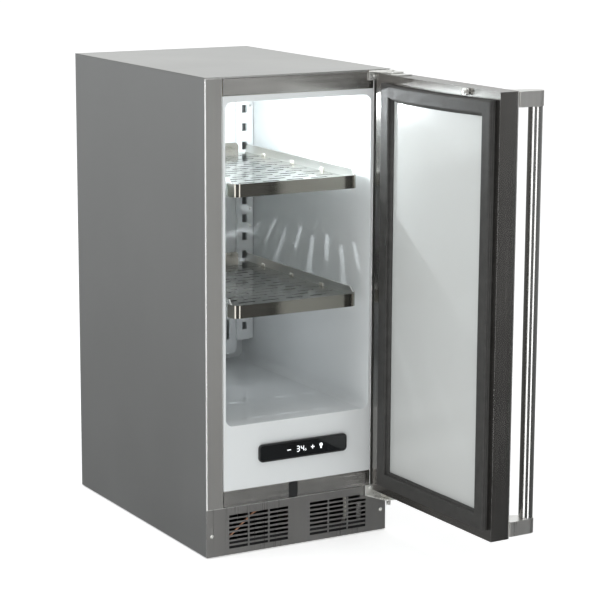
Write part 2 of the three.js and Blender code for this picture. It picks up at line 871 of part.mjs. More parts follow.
// A side plate with a heel at the back, and two hooks that enter the pilaster's holes.
function makeShelfBracket(trimTop, hookCentre, side) {
  const outer = shelfHalfWidth - trimSheet - gap;
  const inner = outer - bracketSheet;
  const y0 = shelfFront + bracketSetback;
  const y1 = pilasterFront - gap;
  const top = trimTop + bracketRise;
  const foot = trimTop - trimHeight - bracketDrop;
  const heelFoot = hookCentre - holePitch - holeHeight / 2 + hookClearance;
  const hookTop = hookCentre + holeHeight / 2 - hookClearance;
  const hookFoot = hookCentre - holeHeight / 2 + hookClearance;
  const lowerHookTop = heelFoot + hookTop - hookFoot;
  const points = [
    [y0, foot],
    [y1 - 2 * bracketHeelDepth, foot],
    [y1 - bracketHeelDepth, heelFoot],
    [y1 + gap + pilasterSheet + hookReach - gap, heelFoot],
    [y1 + gap + pilasterSheet + hookReach - gap, lowerHookTop],
    [y1, lowerHookTop],
    [y1, hookFoot],
    [y1 + gap + pilasterSheet + hookReach - gap, hookFoot],
    [y1 + gap + pilasterSheet + hookReach - gap, hookTop],
    [y1 - hookReach, hookTop],
    [y1 - hookReach - bracketRise, top],
    [y0 + bracketRise, top],
    [y0, top - bracketRise],
  ];
  const a = side * inner;
  const b = side * outer;
  return slab(outline(points), 'x', Math.min(a, b), Math.max(a, b));
}

const shelfHoles = [
  ['upper', holeCount - 1 - upperShelfHolesFromTop],
  ['lower', lowerShelfHolesFromBottom],
];
shelfHoles.forEach(([name, index]) => {
  const hookCentre = holeCentre(index);
  const trimTop = hookCentre - trimTopBelowHole;
  addPart(`${name}_shelf_trim`, makeShelfTrim(trimTop), polishedSteel());
  addPart(`${name}_shelf_deck`, makeShelfDeck(trimTop), polishedSteel());
  addPart(`${name}_shelf_left_bracket`, makeShelfBracket(trimTop, hookCentre, -1), polishedSteel());
  addPart(`${name}_shelf_right_bracket`, makeShelfBracket(trimTop, hookCentre, 1), polishedSteel());
});

// ---------------------------------------------------------------- lamp

const lampY = front + lampSetback;
const lampBaseTop = mouthTop - gap;
const lampBaseFoot = lampBaseTop - lampBaseHeight;

function makeLampBase() {
  const shape = roundedOutline(
    lampX - lampBaseWidth / 2,
    lampX + lampBaseWidth / 2,
    lampY - lampBaseDepth / 2,
    lampY + lampBaseDepth / 2,
    lampBaseDepth / 4,
  );
  return slab(shape, 'z', lampBaseFoot, lampBaseTop);
}

function makeLampLens() {
  const top = lampBaseFoot - gap;
  const domeFoot = top - lampLensHeight;
  const profile = [new THREE.Vector2(0, domeFoot)];
  const steps = 6;
  for (let step = 1; step <= steps; step += 1) {
    const angle = (step / steps) * (Math.PI / 2);
    const r = lampLensRadius * Math.sin(angle);
    profile.push(new THREE.Vector2(r, domeFoot + lampLensDome * (1 - Math.cos(angle))));
  }
  profile.push(new THREE.Vector2(lampLensRadius, top));
  profile.push(new THREE.Vector2(0, top));
  const geometry = new THREE.LatheGeometry(profile, roundSides);
  geometry.rotateX(Math.PI / 2);
  geometry.translate(lampX, lampY, 0);
  return solid(geometry);
}

addPart('lamp_base', makeLampBase(), whitePlastic());
addPart('lamp_lens', makeLampLens(), clearLens());

// ---------------------------------------------------------------- control panel

function makeBezel() {
  const x0 = bezelOffset - bezelWidth / 2;
  const x1 = bezelOffset + bezelWidth / 2;
  const z1 = bezelFoot + bezelHeight;
  const outerFace = front - gap - bezelThickness;
  const body = slab(roundedOutline(x0, x1, bezelFoot, z1, bezelRadius), 'y', outerFace, front - gap);
  const pocketOutline = roundedOutline(x0 + bezelRim, x1 - bezelRim, bezelFoot + bezelRim, z1 - bezelRim, bezelRadius - bezelRim);
  const pocket = slab(pocketOutline, 'y', outerFace - sheet, outerFace + windowThickness + gap);
  return body.subtract(pocket);
}

function makeDisplayWindow() {
  const reach = bezelRim + gap;
  const x0 = bezelOffset - bezelWidth / 2 + reach;
  const x1 = bezelOffset + bezelWidth / 2 - reach;
  const outerFace = front - gap - bezelThickness;
  const shape = roundedOutline(x0, x1, bezelFoot + reach, bezelFoot + bezelHeight - reach, bezelRadius - reach);
  return slab(shape, 'y', outerFace, outerFace + windowThickness);
}

function makeControlBoard() {
  const middle = bezelFoot + bezelHeight / 2;
  const reach = boardWidth / 2;
  const rise = boardHeight / 2;
  return block(bezelOffset - reach, bezelOffset + reach, front, front + boardThickness, middle - rise, middle + rise);
}

addPart('control_bezel', makeBezel(), blackPlastic());
addPart('display_window', makeDisplayWindow(), darkGlass());
addPart('control_board', makeControlBoard(), circuitBoard());

// ---------------------------------------------------------------- hinges

const topArmFoot = doorTop + gap + doorHingePlateSheet + topArmClearance;
const topArmTop = topArmFoot + hingeArmSheet;
const bottomArmFoot = bottomArmTop - hingeArmSheet;
const flangeLeft = halfWidth - hingeFlangeWidth - 1;
const flangeRight = halfWidth - 1;
const hingeFace = grilleFront - hingeFlangeSheet;

// A flange screwed to the cabinet's front, and an arm that reaches out over or under the door.
function makeHingeBracket(flangeFoot, flangeTop, armFoot) {
  const armFront = front - hingeArmReach;
  const arm = outline([
    [flangeLeft, hingeFace + hingeFlangeSheet],
    [flangeLeft, hingeFace],
    [pivotX - hingePinRadius * 3, armFront + hingePinRadius],
    [pivotX - hingePinRadius * 2, armFront],
    [flangeRight - hingePinRadius, armFront],
    [flangeRight, armFront + hingePinRadius],
    [flangeRight, hingeFace + hingeFlangeSheet],
  ]);
  const flange = block(flangeLeft, flangeRight, hingeFace, hingeFace + hingeFlangeSheet, flangeFoot, flangeTop);
  const pinHole = bar(hingePinRadius + gap, 'z', armFoot - sheet, armFoot + hingeArmSheet + sheet, pivotX, pivotY);
  return flange.add(slab(arm, 'z', armFoot, armFoot + hingeArmSheet)).subtract(pinHole);
}

function makeBottomBracket() {
  const stopX = pivotX - hingePinRadius;
  const stopY = front - hingeArmReach + hingePinRadius + 1;
  const stop = bar(stopPinRadius, 'z', bottomArmFoot - stopPinDrop, bottomArmFoot + sheet, stopX, stopY, 12);
  return makeHingeBracket(bottomArmFoot, bottomArmFoot + hingeFlangeHeight + hingeArmSheet, bottomArmFoot).add(stop);
}

// A headed pin through the arm and into the bushing in the door.
function makeHingePin(headFoot, headTop, shankFoot, shankTop) {
  const head = bar(hingePinRadius * 1.7, 'z', headFoot, headTop, pivotX, pivotY);
  return head.add(bar(hingePinRadius, 'z', shankFoot, shankTop, pivotX, pivotY));
}

const pinHead = 2;
const bushingDepth = 14;
const bushingHole = hingePinRadius + hingePinPlay;

function makeBushing(foot, top) {
  return bar(hingeBushingRadius, 'z', foot, top, pivotX, pivotY).subtract(
    bar(bushingHole, 'z', foot - sheet, top + sheet, pivotX, pivotY),
  );
}

function makeDoorHingePlate(foot) {
  const x1 = doorHinge - doorOuterEdgeRadius;
  const x0 = x1 - doorHingePlateWidth;
  const y0 = pivotY - doorHingePlateDepth / 2;
  const plate = block(x0, x1, y0, y0 + doorHingePlateDepth, foot, foot + doorHingePlateSheet);
  const hole = bar(hingeBushingRadius + gap, 'z', foot - sheet, foot + doorHingePlateSheet + sheet, pivotX, pivotY);
  return plate.subtract(hole);
}

const topPlateFoot = doorTop + gap;
const bottomPlateFoot = doorFoot - gap - doorHingePlateSheet;
const topBushingTop = topArmFoot - gap;
const topBushingFoot = topBushingTop - bushingDepth;
const bottomBushingFoot = bottomArmTop + gap;
const bottomBushingTop = doorFoot + bushingDepth - doorHingePlateSheet;

addPart('top_hinge_bracket', makeHingeBracket(topArmTop - hingeFlangeHeight, topArmTop, topArmFoot), zincSteel());
addPart('bottom_hinge_bracket', makeBottomBracket(), zincSteel());
addPart('top_hinge_pin', makeHingePin(topArmTop + gap, topArmTop + gap + pinHead, topBushingFoot + sheet, topArmTop + pinHead), steel());
addPart(
  'bottom_hinge_pin',
  makeHingePin(bottomArmFoot - gap - pinHead, bottomArmFoot - gap, bottomArmFoot - pinHead, bottomBushingTop - sheet),
  steel(),
);
addDoorPart('top_hinge_bushing', makeBushing(topBushingFoot, topBushingTop), natural());
addDoorPart('bottom_hinge_bushing', makeBushing(bottomBushingFoot, bottomBushingTop), natural());
addDoorPart('top_door_hinge_plate', makeDoorHingePlate(topPlateFoot), zincSteel());
addDoorPart('bottom_door_hinge_plate', makeDoorHingePlate(bottomPlateFoot), zincSteel());

// ---------------------------------------------------------------- door

const lockX = doorLatch + lockInset;
const lockZ = doorTop - lockBelowTop;
const doorPocketDepth = bushingDepth + 2 * sheet;

// Both bushings and the lock pass through the door, so skin and core are bored for them.
function doorBores(clearance) {
  const radius = hingeBushingRadius + clearance;
  const topPocket = bar(radius, 'z', doorTop - doorPocketDepth, doorTop + sheet, pivotX, pivotY);
  const bottomPocket = bar(radius, 'z', doorFoot - sheet, doorFoot + doorPocketDepth, pivotX, pivotY);
  const lockBore = bar(lockBarrelRadius + clearance, 'y', doorOuter - sheet, doorInner + sheet, lockX, lockZ);
  return topPocket.add(bottomPocket).add(lockBore);
}

// The plan of the door's outside: the two outer upright edges are rounded.
function doorPlan(inset) {
  const x0 = doorLatch + inset;
  const x1 = doorHinge - inset;
  const y0 = doorOuter + inset;
  const y1 = doorInner - inset;
  const radius = doorOuterEdgeRadius - inset;
  const shape = new THREE.Shape();
  shape.moveTo(x0, y1);
  shape.lineTo(x0, y0 + radius);
  shape.absarc(x0 + radius, y0 + radius, radius, Math.PI, 1.5 * Math.PI);
  shape.lineTo(x1 - radius, y0);
  shape.absarc(x1 - radius, y0 + radius, radius, 1.5 * Math.PI, 2 * Math.PI);
  shape.lineTo(x1, y1);
  return shape;
}

function makeDoorSkin() {
  const shell = slab(doorPlan(0), 'z', doorFoot, doorTop);
  const hollow = slab(doorPlan(sheet), 'z', doorFoot + sheet, doorTop - sheet);
  const mouth = block(
    doorLatch + doorReturn,
    doorHinge - doorReturn,
    doorInner - 2 * sheet,
    doorInner + sheet,
    doorFoot + doorReturn,
    doorTop - doorReturn,
  );
  return shell.subtract(hollow).subtract(mouth).subtract(doorBores(gap));
}

function makeDoorPanel() {
  const reach = doorReturn + gap;
  return block(
    doorLatch + reach,
    doorHinge - reach,
    doorInner - doorPanelThickness,
    doorInner,
    doorFoot + reach,
    doorTop - reach,
  ).subtract(doorBores(gap));
}

function makeDoorFoam() {
  const reach = sheet + gap;
  const core = slab(doorPlan(reach), 'z', doorFoot + reach, doorTop - reach);
  const panelRoom = block(-halfWidth, halfWidth, doorInner - doorPanelThickness - gap, doorInner + sheet, 0, cabinetHeight);
  return core.subtract(panelRoom).subtract(doorBores(2 * gap));
}

function makeGasket() {
  const x0 = doorLatch + gasketLatchInset;
  const x1 = doorHinge - gasketHingeInset;
  const z0 = doorFoot + gasketFootInset;
  const z1 = doorTop - lockBelowTop - lockCamLobeCircle - lockCamLobe - gap;
  const y0 = doorInner + gap;
  const y1 = doorInner + gasketThickness;
  const ring = block(x0, x1, y0, y1, z0, z1);
  const inside = block(x0 + gasketWidth, x1 - gasketWidth, y0 - sheet, y1 + sheet, z0 + gasketWidth, z1 - gasketWidth);
  return ring.subtract(inside);
}

addDoorPart('door_outer_skin', makeDoorSkin(), steel());
addDoorPart('door_inner_panel', makeDoorPanel(), whitePlastic());
addDoorPart('door_foam', makeDoorFoam(), foam());
addDoorPart('door_gasket', makeGasket(), blackVinyl());

// ---------------------------------------------------------------- handle

const handleX = doorLatch + handleInset;
const handleY = doorOuter - handleStandoff;
const topBracketTop = doorTop - handleBracketEndInset;
const topBracketFoot = topBracketTop - handleBracketHeight;
const bottomBracketFoot = doorFoot + 3 * handleBracketEndInset;
const bottomBracketTop = bottomBracketFoot + handleBracketHeight;

// A gusset, broad at the door and round at its tip, level with the door's latch edge.
function makeHandleBracket(foot, top) {
  const radius = handleRadius + handleBracketMargin;
  const root = doorOuter - gap;
  const rootEnd = doorLatch + handleBracketRoot;
  const reachX = rootEnd - handleX;
  const reachY = root - handleY;
  const slope = Math.atan2(reachY, reachX);
  const tangent = slope - Math.acos(radius / Math.hypot(reachX, reachY));
  const shape = new THREE.Shape();
  shape.moveTo(doorLatch, root);
  shape.lineTo(doorLatch, handleY);
  shape.absarc(handleX, handleY, radius, Math.PI, 2 * Math.PI + tangent);
  shape.lineTo(rootEnd, root);
  return slab(shape, 'z', foot, top, 10);
}

function makeHandleTube() {
  const foot = bottomBracketTop + gap;
  const top = topBracketFoot - gap;
  const outside = bar(handleRadius, 'z', foot, top, handleX, handleY, 32);
  return outside.subtract(bar(handleRadius - handleWall, 'z', foot - sheet, top + sheet, handleX, handleY, roundSides));
}

addDoorPart('handle_tube', makeHandleTube(), polishedSteel());
addDoorPart('top_handle_bracket', makeHandleBracket(topBracketFoot, topBracketTop), steel());
addDoorPart('bottom_handle_bracket', makeHandleBracket(bottomBracketFoot, bottomBracketTop), steel());

// ---------------------------------------------------------------- lock

function makeLockBarrel() {
  const head = bar(lockHeadRadius, 'y', doorOuter - gap - lockHeadThickness, doorOuter - gap, lockX, lockZ - 0.5 * lockCamHub);
  const shank = bar(lockBarrelRadius, 'y', doorOuter - gap - sheet, doorInner + lockBarrelProud, lockX, lockZ);
  const keyway = block(lockX - 0.6, lockX + 0.6, doorOuter - gap - 2 * lockHeadThickness, doorOuter - gap - sheet, lockZ - 3, lockZ + 3);
  return head.add(shank).subtract(keyway);
}

// A lobed cam that a quarter turn of the key swings behind the strike.
function makeLockCam() {
  const y0 = doorInner + lockBarrelProud + gap;
  const hub = bar(lockCamHub, 'y', y0, y0 + lockCamLength, lockX, lockZ, 16);
  const lobes = counted(lockCamLobes, (index) => {
    const angle = ((index + 0.5) * 2 * Math.PI) / lockCamLobes;
    const x = lockX + lockCamLobeCircle * Math.cos(angle);
    const z = lockZ + lockCamLobeCircle * Math.sin(angle);
    return bar(lockCamLobe, 'y', y0, y0 + lockCamLength * 0.7, x, z, 12);
  });
  return hub.add(joined(lobes));
}

addDoorPart('lock_barrel', makeLockBarrel(), polishedSteel());
addDoorPart('lock_cam', makeLockCam(), zincSteel());

// ---------------------------------------------------------------- base and levelling legs

const panFront = front + panFrontSetback;
const panBack = rearPanelInner - panRearSetback;
const legX = halfWidth - legInsetX;
const legPlaces = [
  ['front_left_levelling_leg', -legX, front + legInsetY],
  ['front_right_levelling_leg', legX, front + legInsetY],
  ['rear_left_levelling_leg', -legX, back - legInsetY],
  ['rear_right_levelling_leg', legX, back - legInsetY],
];

function makeBasePan() {
  const tray = block(-shellInside, shellInside, panFront, panBack, panUnderside, panTop + panLip);
  const hollow = block(
    -shellInside + panSheet,
    shellInside - panSheet,
    panFront + panSheet,
    panBack - panSheet,
    panTop,
    panTop + panLip + sheet,
  );
  const holes = legPlaces.map(([, x, y]) => bar(legStudRadius + gap, 'z', 0, panTop + sheet, x, y, 16));
  const across = embossWidth / 2;
  const along = embossLength / 2;
  const emboss = block(-across, across, -along, along, panUnderside - embossDrop, panTop);
  const dish = block(
    -across + panSheet,
    across - panSheet,
    -along + panSheet,
    along - panSheet,
    panTop - embossDrop,
    panTop + sheet,
  );
  return tray.subtract(hollow).subtract(joined(holes)).add(emboss).subtract(dish);
}

function makeLeg(x, y) {
  const foot = bar(legFootRadius, 'z', 0, legFootHeight, x, y);
  return foot.add(bar(legStudRadius, 'z', legFootHeight - sheet, legStudHeight, x, y, 16));
}

addPart('base_pan', makeBasePan(), galvanised());
legPlaces.forEach(([name, x, y]) => addPart(name, makeLeg(x, y), zincSteel()));

// ---------------------------------------------------------------- machine compartment

function makeCompressor() {
  const z0 = panTop + gap + compressorFootRise;
  const shellHeight = compressorHeight - compressorFootRise;
  const shoulder = compressorRadius * 0.45;
  const profile = [new THREE.Vector2(0, z0), new THREE.Vector2(compressorRadius - 6, z0), new THREE.Vector2(compressorRadius, z0 + 6)];
  const steps = 6;
  for (let step = 0; step <= steps; step += 1) {
    const angle = (step / steps) * (Math.PI / 2);
    const r = compressorRadius - shoulder + shoulder * Math.cos(angle);
    profile.push(new THREE.Vector2(r, z0 + shellHeight - shoulder + shoulder * Math.sin(angle)));
  }
  profile.push(new THREE.Vector2(0, z0 + shellHeight));
  const shell = new THREE.LatheGeometry(profile, roundSides);
  shell.rotateX(Math.PI / 2);
  shell.translate(compressorX, compressorY, 0);
  const halfFoot = compressorFootWidth / 2;
  const halfDeep = compressorFootDepth / 2;
  const plate = block(compressorX - halfFoot, compressorX + halfFoot, compressorY - halfDeep, compressorY + halfDeep, z0 - 3, z0 + 1);
  const grommets = [-1, 1].flatMap((sx) => [-1, 1].map((sy) => {
    const x = compressorX + sx * (halfFoot - 12);
    const y = compressorY + sy * (halfDeep - 12);
    return bar(9, 'z', panTop + gap, z0, x, y, 12);
  }));
  const terminals = block(
    compressorX - 20,
    compressorX + 20,
    compressorY - compressorRadius - 14,
    compressorY - compressorRadius + 8,
    z0 + 30,
    z0 + 75,
  );
  return solid(shell).add(plate).add(joined(grommets)).add(terminals);
}

const condenserFoot = panTop + gap;
const condenserFront = front + condenserSetback;
const condenserBack = condenserFront + condenserDepth;
const shroudFront = condenserBack + shroudGap;
const fanCentre = condenserFoot + condenserHeight / 2;
const condenserFanStart = shroudFront - condenserFanDepth / 2;

function makeCondenser() {
  const reach = condenserWidth / 2;
  return makeCoil(
    condenserX - reach,
    condenserX + reach,
    condenserFront,
    condenserBack - condenserFanDepth / 2,
    condenserFoot,
    condenserFoot + condenserHeight,
    condenserFins,
    condenserTubes,
  );
}

function makeShroud() {
  const reach = condenserWidth / 2;
  const top = condenserFoot + condenserHeight;
  const plate = block(condenserX - reach, condenserX + reach, shroudFront, shroudFront + shroudSheet, condenserFoot, top);
  const throat = bar(condenserFanRadius + 3, 'y', shroudFront - sheet, shroudFront + shroudSheet + sheet, condenserX, fanCentre, 32);
  return plate.subtract(throat);
}

// The motor stands on a bracket behind the blade.
function makeFanMotor() {
  const y0 = condenserFanStart + condenserFanDepth + gap;
  const motor = bar(motorRadius, 'y', y0, y0 + motorLength, condenserX, fanCentre);
  const stand = block(condenserX - 12, condenserX + 12, y0 + motorLength - 8, y0 + motorLength, condenserFoot, fanCentre);
  const foot = block(condenserX - 30, condenserX + 30, y0 + motorLength - 24, y0 + motorLength, condenserFoot, condenserFoot + 2);
  return motor.add(stand).add(foot);
}

function makeDrainPan() {
  const x0 = drainPanX - drainPanWidth / 2;
  const y0 = drainPanY - drainPanDepth / 2;
  const z0 = panTop + gap;
  const tray = slab(roundedOutline(x0, x0 + drainPanWidth, y0, y0 + drainPanDepth, 10), 'z', z0, z0 + drainPanHeight);
  const w = drainPanWall;
  const hollow = roundedOutline(x0 + w, x0 + drainPanWidth - w, y0 + w, y0 + drainPanDepth - w, 10 - w);
  return tray.subtract(slab(hollow, 'z', z0 + w, z0 + drainPanHeight + sheet));
}

function makeDrier() {
  const y0 = drainPanY - drainPanDepth / 2 - drierLength - 20;
  const z = panTop + gap + drierRadius + 4;
  const can = bar(drierRadius, 'y', y0, y0 + drierLength, drainPanX, z, 16);
  const saddle = block(drainPanX - 8, drainPanX + 8, y0 + 30, y0 + 50, panTop + gap, z);
  return can.add(saddle);
}

addPart('compressor', makeCompressor(), blackPaint());
addPart('condenser_coil', makeCondenser(), copper());
addPart('condenser_fan_shroud', makeShroud(), blackPlastic());
addPart('condenser_fan_blade', makeFan(condenserFanRadius, condenserFanDepth, condenserX, fanCentre, condenserFanStart), natural());
addPart('condenser_fan_motor', makeFanMotor(), blackPaint());
addPart('drain_pan', makeDrainPan(), blackPlastic());
addPart('filter_drier', makeDrier(), copper());

export default refrigerator;
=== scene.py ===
# %% [markdown]
# # A narrow undercounter refrigerator
# The cabinet, its shelves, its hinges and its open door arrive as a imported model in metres.
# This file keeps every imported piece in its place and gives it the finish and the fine
# detail that the real appliance has: brushed steel, moulded white liner, ribbed gasket,
# screws, and a small lit display.

import json
import math

import bmesh
import bpy
from mathutils import Matrix, Vector


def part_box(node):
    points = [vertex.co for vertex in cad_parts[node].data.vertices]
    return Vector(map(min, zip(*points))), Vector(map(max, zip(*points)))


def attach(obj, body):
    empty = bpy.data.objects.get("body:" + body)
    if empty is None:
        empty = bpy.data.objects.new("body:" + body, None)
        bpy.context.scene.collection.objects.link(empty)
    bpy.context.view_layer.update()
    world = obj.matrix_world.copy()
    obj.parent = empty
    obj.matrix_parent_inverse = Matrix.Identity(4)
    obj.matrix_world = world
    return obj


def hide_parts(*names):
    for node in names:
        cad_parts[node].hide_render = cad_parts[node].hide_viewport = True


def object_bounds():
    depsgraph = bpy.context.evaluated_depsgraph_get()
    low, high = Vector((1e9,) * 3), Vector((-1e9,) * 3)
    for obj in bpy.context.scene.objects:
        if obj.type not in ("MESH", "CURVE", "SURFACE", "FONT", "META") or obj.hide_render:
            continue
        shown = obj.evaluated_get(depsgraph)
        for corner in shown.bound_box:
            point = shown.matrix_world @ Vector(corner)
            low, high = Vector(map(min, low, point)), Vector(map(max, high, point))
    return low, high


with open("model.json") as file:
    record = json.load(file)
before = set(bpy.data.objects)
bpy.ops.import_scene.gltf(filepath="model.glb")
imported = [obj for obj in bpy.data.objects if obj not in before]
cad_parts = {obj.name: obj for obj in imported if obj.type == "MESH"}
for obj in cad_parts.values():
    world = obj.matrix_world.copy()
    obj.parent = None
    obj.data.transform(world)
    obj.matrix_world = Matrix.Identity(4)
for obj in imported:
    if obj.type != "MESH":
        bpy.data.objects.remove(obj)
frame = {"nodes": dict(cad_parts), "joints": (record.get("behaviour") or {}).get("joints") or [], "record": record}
cad_low, cad_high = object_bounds()
nodes = frame["nodes"]
MM = 0.001
print("packed nodes:", len(nodes))
print("packed box:", [round(v, 3) for v in cad_low], [round(v, 3) for v in cad_high])

# %% [markdown]
# The camera stands to the left of the cabinet's front and a little above it, with a long lens,
# so upright edges stay nearly parallel. Building its axes by hand keeps the small roll exact.

# %% Camera
CAMERA_PLACE = Vector((-1.9373, -3.6779, 1.2447))
CAMERA_TURN = 0.5182
CAMERA_TILT = 0.1978
CAMERA_ROLL = 0.004
CAMERA_LENS = 132.53
CAMERA_REACH = 50.0
SENSOR_WIDTH = 36.0


def make_camera():
    ahead = Vector((
        math.sin(CAMERA_TURN) * math.cos(CAMERA_TILT),
        math.cos(CAMERA_TURN) * math.cos(CAMERA_TILT),
        -math.sin(CAMERA_TILT),
    ))
    level = Vector((math.cos(CAMERA_TURN), -math.sin(CAMERA_TURN), 0.0))
    upright = level.cross(ahead)
    across = level * math.cos(CAMERA_ROLL) + upright * math.sin(CAMERA_ROLL)
    up = upright * math.cos(CAMERA_ROLL) - level * math.sin(CAMERA_ROLL)
    data = bpy.data.cameras.new("camera")
    data.lens = CAMERA_LENS
    data.sensor_width = SENSOR_WIDTH
    data.clip_end = CAMERA_REACH
    camera = bpy.data.objects.new("camera", data)
    bpy.context.scene.collection.objects.link(camera)
    turn = Matrix((across, up, -ahead)).transposed().to_4x4()
    camera.matrix_world = Matrix.Translation(CAMERA_PLACE) @ turn
    bpy.context.scene.camera = camera
    return camera


camera = make_camera()
bpy.context.scene.view_settings.view_transform = "Standard"
print("camera at", tuple(round(v, 3) for v in camera.location))

# %% [markdown]
# Steel shows what stands around it, so the studio matters as much as the metal. The floor is
# white paper that glows a little, so the cabinet's shadow stays faint. Polished metal doesn't
# see the floor at all, which keeps its lower half from turning white. A curved paper sweep
# would do the same, but a flat sheet under a white sky has no edge to hide.

# %% Studio floor
FLOOR_SIZE = 60.0
PAPER_WHITE = 0.86
PAPER_ROUGHNESS = 0.9
PAPER_SHEEN = 0.1
PAPER_GLOW = 0.5


def make_floor():
    mesh = bpy.data.meshes.new("studio_floor")
    shape = bmesh.new()
    bmesh.ops.create_grid(shape, x_segments=1, y_segments=1, size=FLOOR_SIZE / 2)
    shape.to_mesh(mesh)
    shape.free()
    floor = bpy.data.objects.new("studio_floor", mesh)
    bpy.context.scene.collection.objects.link(floor)
    material = bpy.data.materials.new("studio_paper")
    material.use_nodes = True
    surface = material.node_tree.nodes["Principled BSDF"]
    surface.inputs["Base Color"].default_value = (PAPER_WHITE, PAPER_WHITE, PAPER_WHITE, 1)
    surface.inputs["Roughness"].default_value = PAPER_ROUGHNESS
    surface.inputs["Specular IOR Level"].default_value = PAPER_SHEEN
    surface.inputs["Emission Color"].default_value = (1, 1, 1, 1)
    surface.inputs["Emission Strength"].default_value = PAPER_GLOW
    mesh.materials.append(material)
    floor.visible_glossy = False
    return floor


floor = make_floor()
print("floor:", floor.name, "across:", FLOOR_SIZE)

# %% [markdown]
# The sky is plain white to the eye. To the metal it is bright overhead, dim at the horizon and
# dark below it, and it is brighter behind the cabinet than in front. Those differences give
# brushed steel the greys that it has in a white room. A ramp over the direction of view is
# used because walls built as objects would take longer to light and to adjust.

# %% Studio sky
LOW_SKY = 0.10
HORIZON_SKY = 0.42
HIGH_SKY = 0.85
LOW_SKY_PLACE = 0.30
HORIZON_PLACE = 0.50
HIGH_SKY_PLACE = 0.62
FRONT_SHARE = 0.55
BACK_SHARE = 1.15
SHARE_REACH = 0.6
SKY_TINT = (0.985, 1.0, 0.995, 1)
SEEN_SKY_STRENGTH = 1.05


def make_sky():
    world = bpy.data.worlds.new("studio_sky")
    world.use_nodes = True
    bpy.context.scene.world = world
    tree = world.node_tree
    tree.nodes.clear()
    out = tree.nodes.new("ShaderNodeOutputWorld")
    place = tree.nodes.new("ShaderNodeTexCoord")
    split = tree.nodes.new("ShaderNodeSeparateXYZ")
    tree.links.new(place.outputs["Generated"], split.inputs[0])
    rise = tree.nodes.new("ShaderNodeValToRGB")
    rise.color_ramp.interpolation = "EASE"
    rise.color_ramp.elements[0].position = LOW_SKY_PLACE
    rise.color_ramp.elements[0].color = (LOW_SKY, LOW_SKY, LOW_SKY, 1)
    rise.color_ramp.elements[1].position = HIGH_SKY_PLACE
    rise.color_ramp.elements[1].color = (HIGH_SKY, HIGH_SKY, HIGH_SKY, 1)
    horizon = rise.color_ramp.elements.new(HORIZON_PLACE)
    horizon.color = (HORIZON_SKY, HORIZON_SKY, HORIZON_SKY, 1)
    height = tree.nodes.new("ShaderNodeMapRange")
    height.inputs["From Min"].default_value = -1.0
    tree.links.new(split.outputs["Z"], height.inputs["Value"])
    tree.links.new(height.outputs["Result"], rise.inputs["Fac"])
    behind = tree.nodes.new("ShaderNodeMapRange")
    behind.inputs["From Min"].default_value = -SHARE_REACH
    behind.inputs["From Max"].default_value = SHARE_REACH
    behind.inputs["To Min"].default_value = FRONT_SHARE
    behind.inputs["To Max"].default_value = BACK_SHARE
    tree.links.new(split.outputs["Y"], behind.inputs["Value"])
    strength = tree.nodes.new("ShaderNodeMath")
    strength.operation = "MULTIPLY"
    tree.links.new(rise.outputs["Color"], strength.inputs[0])
    tree.links.new(behind.outputs["Result"], strength.inputs[1])
    seen = tree.nodes.new("ShaderNodeBackground")
    lighting = tree.nodes.new("ShaderNodeBackground")
    path = tree.nodes.new("ShaderNodeLightPath")
    mix = tree.nodes.new("ShaderNodeMixShader")
    tree.links.new(strength.outputs[0], lighting.inputs["Strength"])
    tree.links.new(path.outputs["Is Camera Ray"], mix.inputs[0])
    tree.links.new(lighting.outputs[0], mix.inputs[1])
    tree.links.new(seen.outputs[0], mix.inputs[2])
    tree.links.new(mix.outputs[0], out.inputs["Surface"])
    lighting.inputs["Color"].default_value = SKY_TINT
    seen.inputs["Color"].default_value = (1, 1, 1, 1)
    seen.inputs["Strength"].default_value = SEEN_SKY_STRENGTH
    return world


sky = make_sky()
print("sky:", sky.name, "nodes:", len(sky.node_tree.nodes))

# %% [markdown]
# Two softboxes light the room: a large one overhead, which sets the bright top, and a dimmer
# one in front, which fills the flanges, the grille and the open door. Area lights are chosen
# over point lights because a broad source gives steel a soft highlight and no hard shadow.

# %% Softboxes
OVERHEAD_PLACE = (-0.4, -0.6, 3.2)
OVERHEAD_AIM = (0, -0.1, 0.4)
OVERHEAD_SIZE = (2.6, 2.6)
OVERHEAD_WATTS = 24
FRONT_PLACE = (-1.6, -3.6, 1.9)
FRONT_AIM = (0, 0, 0.45)
FRONT_SIZE = (1.6, 2.0)
FRONT_WATTS = 15


def make_area_light(name, place, aim, size, watts):
    data = bpy.data.lights.new(name, "AREA")
    data.shape = "RECTANGLE"
    data.size, data.size_y = size
    data.energy = watts
    light = bpy.data.objects.new(name, data)
    bpy.context.scene.collection.objects.link(light)
    look = Vector(aim) - Vector(place)
    turn = look.to_track_quat("-Z", "Y").to_matrix().to_4x4()
    light.matrix_world = Matrix.Translation(place) @ turn
    return light


overhead = make_area_light(
    "overhead_softbox", OVERHEAD_PLACE, OVERHEAD_AIM, OVERHEAD_SIZE, OVERHEAD_WATTS,
)
front = make_area_light("front_softbox", FRONT_PLACE, FRONT_AIM, FRONT_SIZE, FRONT_WATTS)
print("softboxes:", overhead.name, front.name)

# %% [markdown]
# A polished handle shows long upright stripes. They come from two tall glowing panels that
# stand far to the left and far in front. Area lights could make the stripes too, but they would
# also brighten every dull surface. Glowing sheets can be hidden from the camera, the dull
# surfaces and the shadows, so they are there for reflections only.

# %% Reflected panels
PANEL_DISTANCE = 5.0
PANEL_HEIGHT = 7.0
PANEL_MIDDLE = -0.4
PANEL_STRENGTH = 2.6
PANELS = {
    "left_stripe_panel": (-144, 1.7),
    "right_stripe_panel": (-84, 1.3),
}


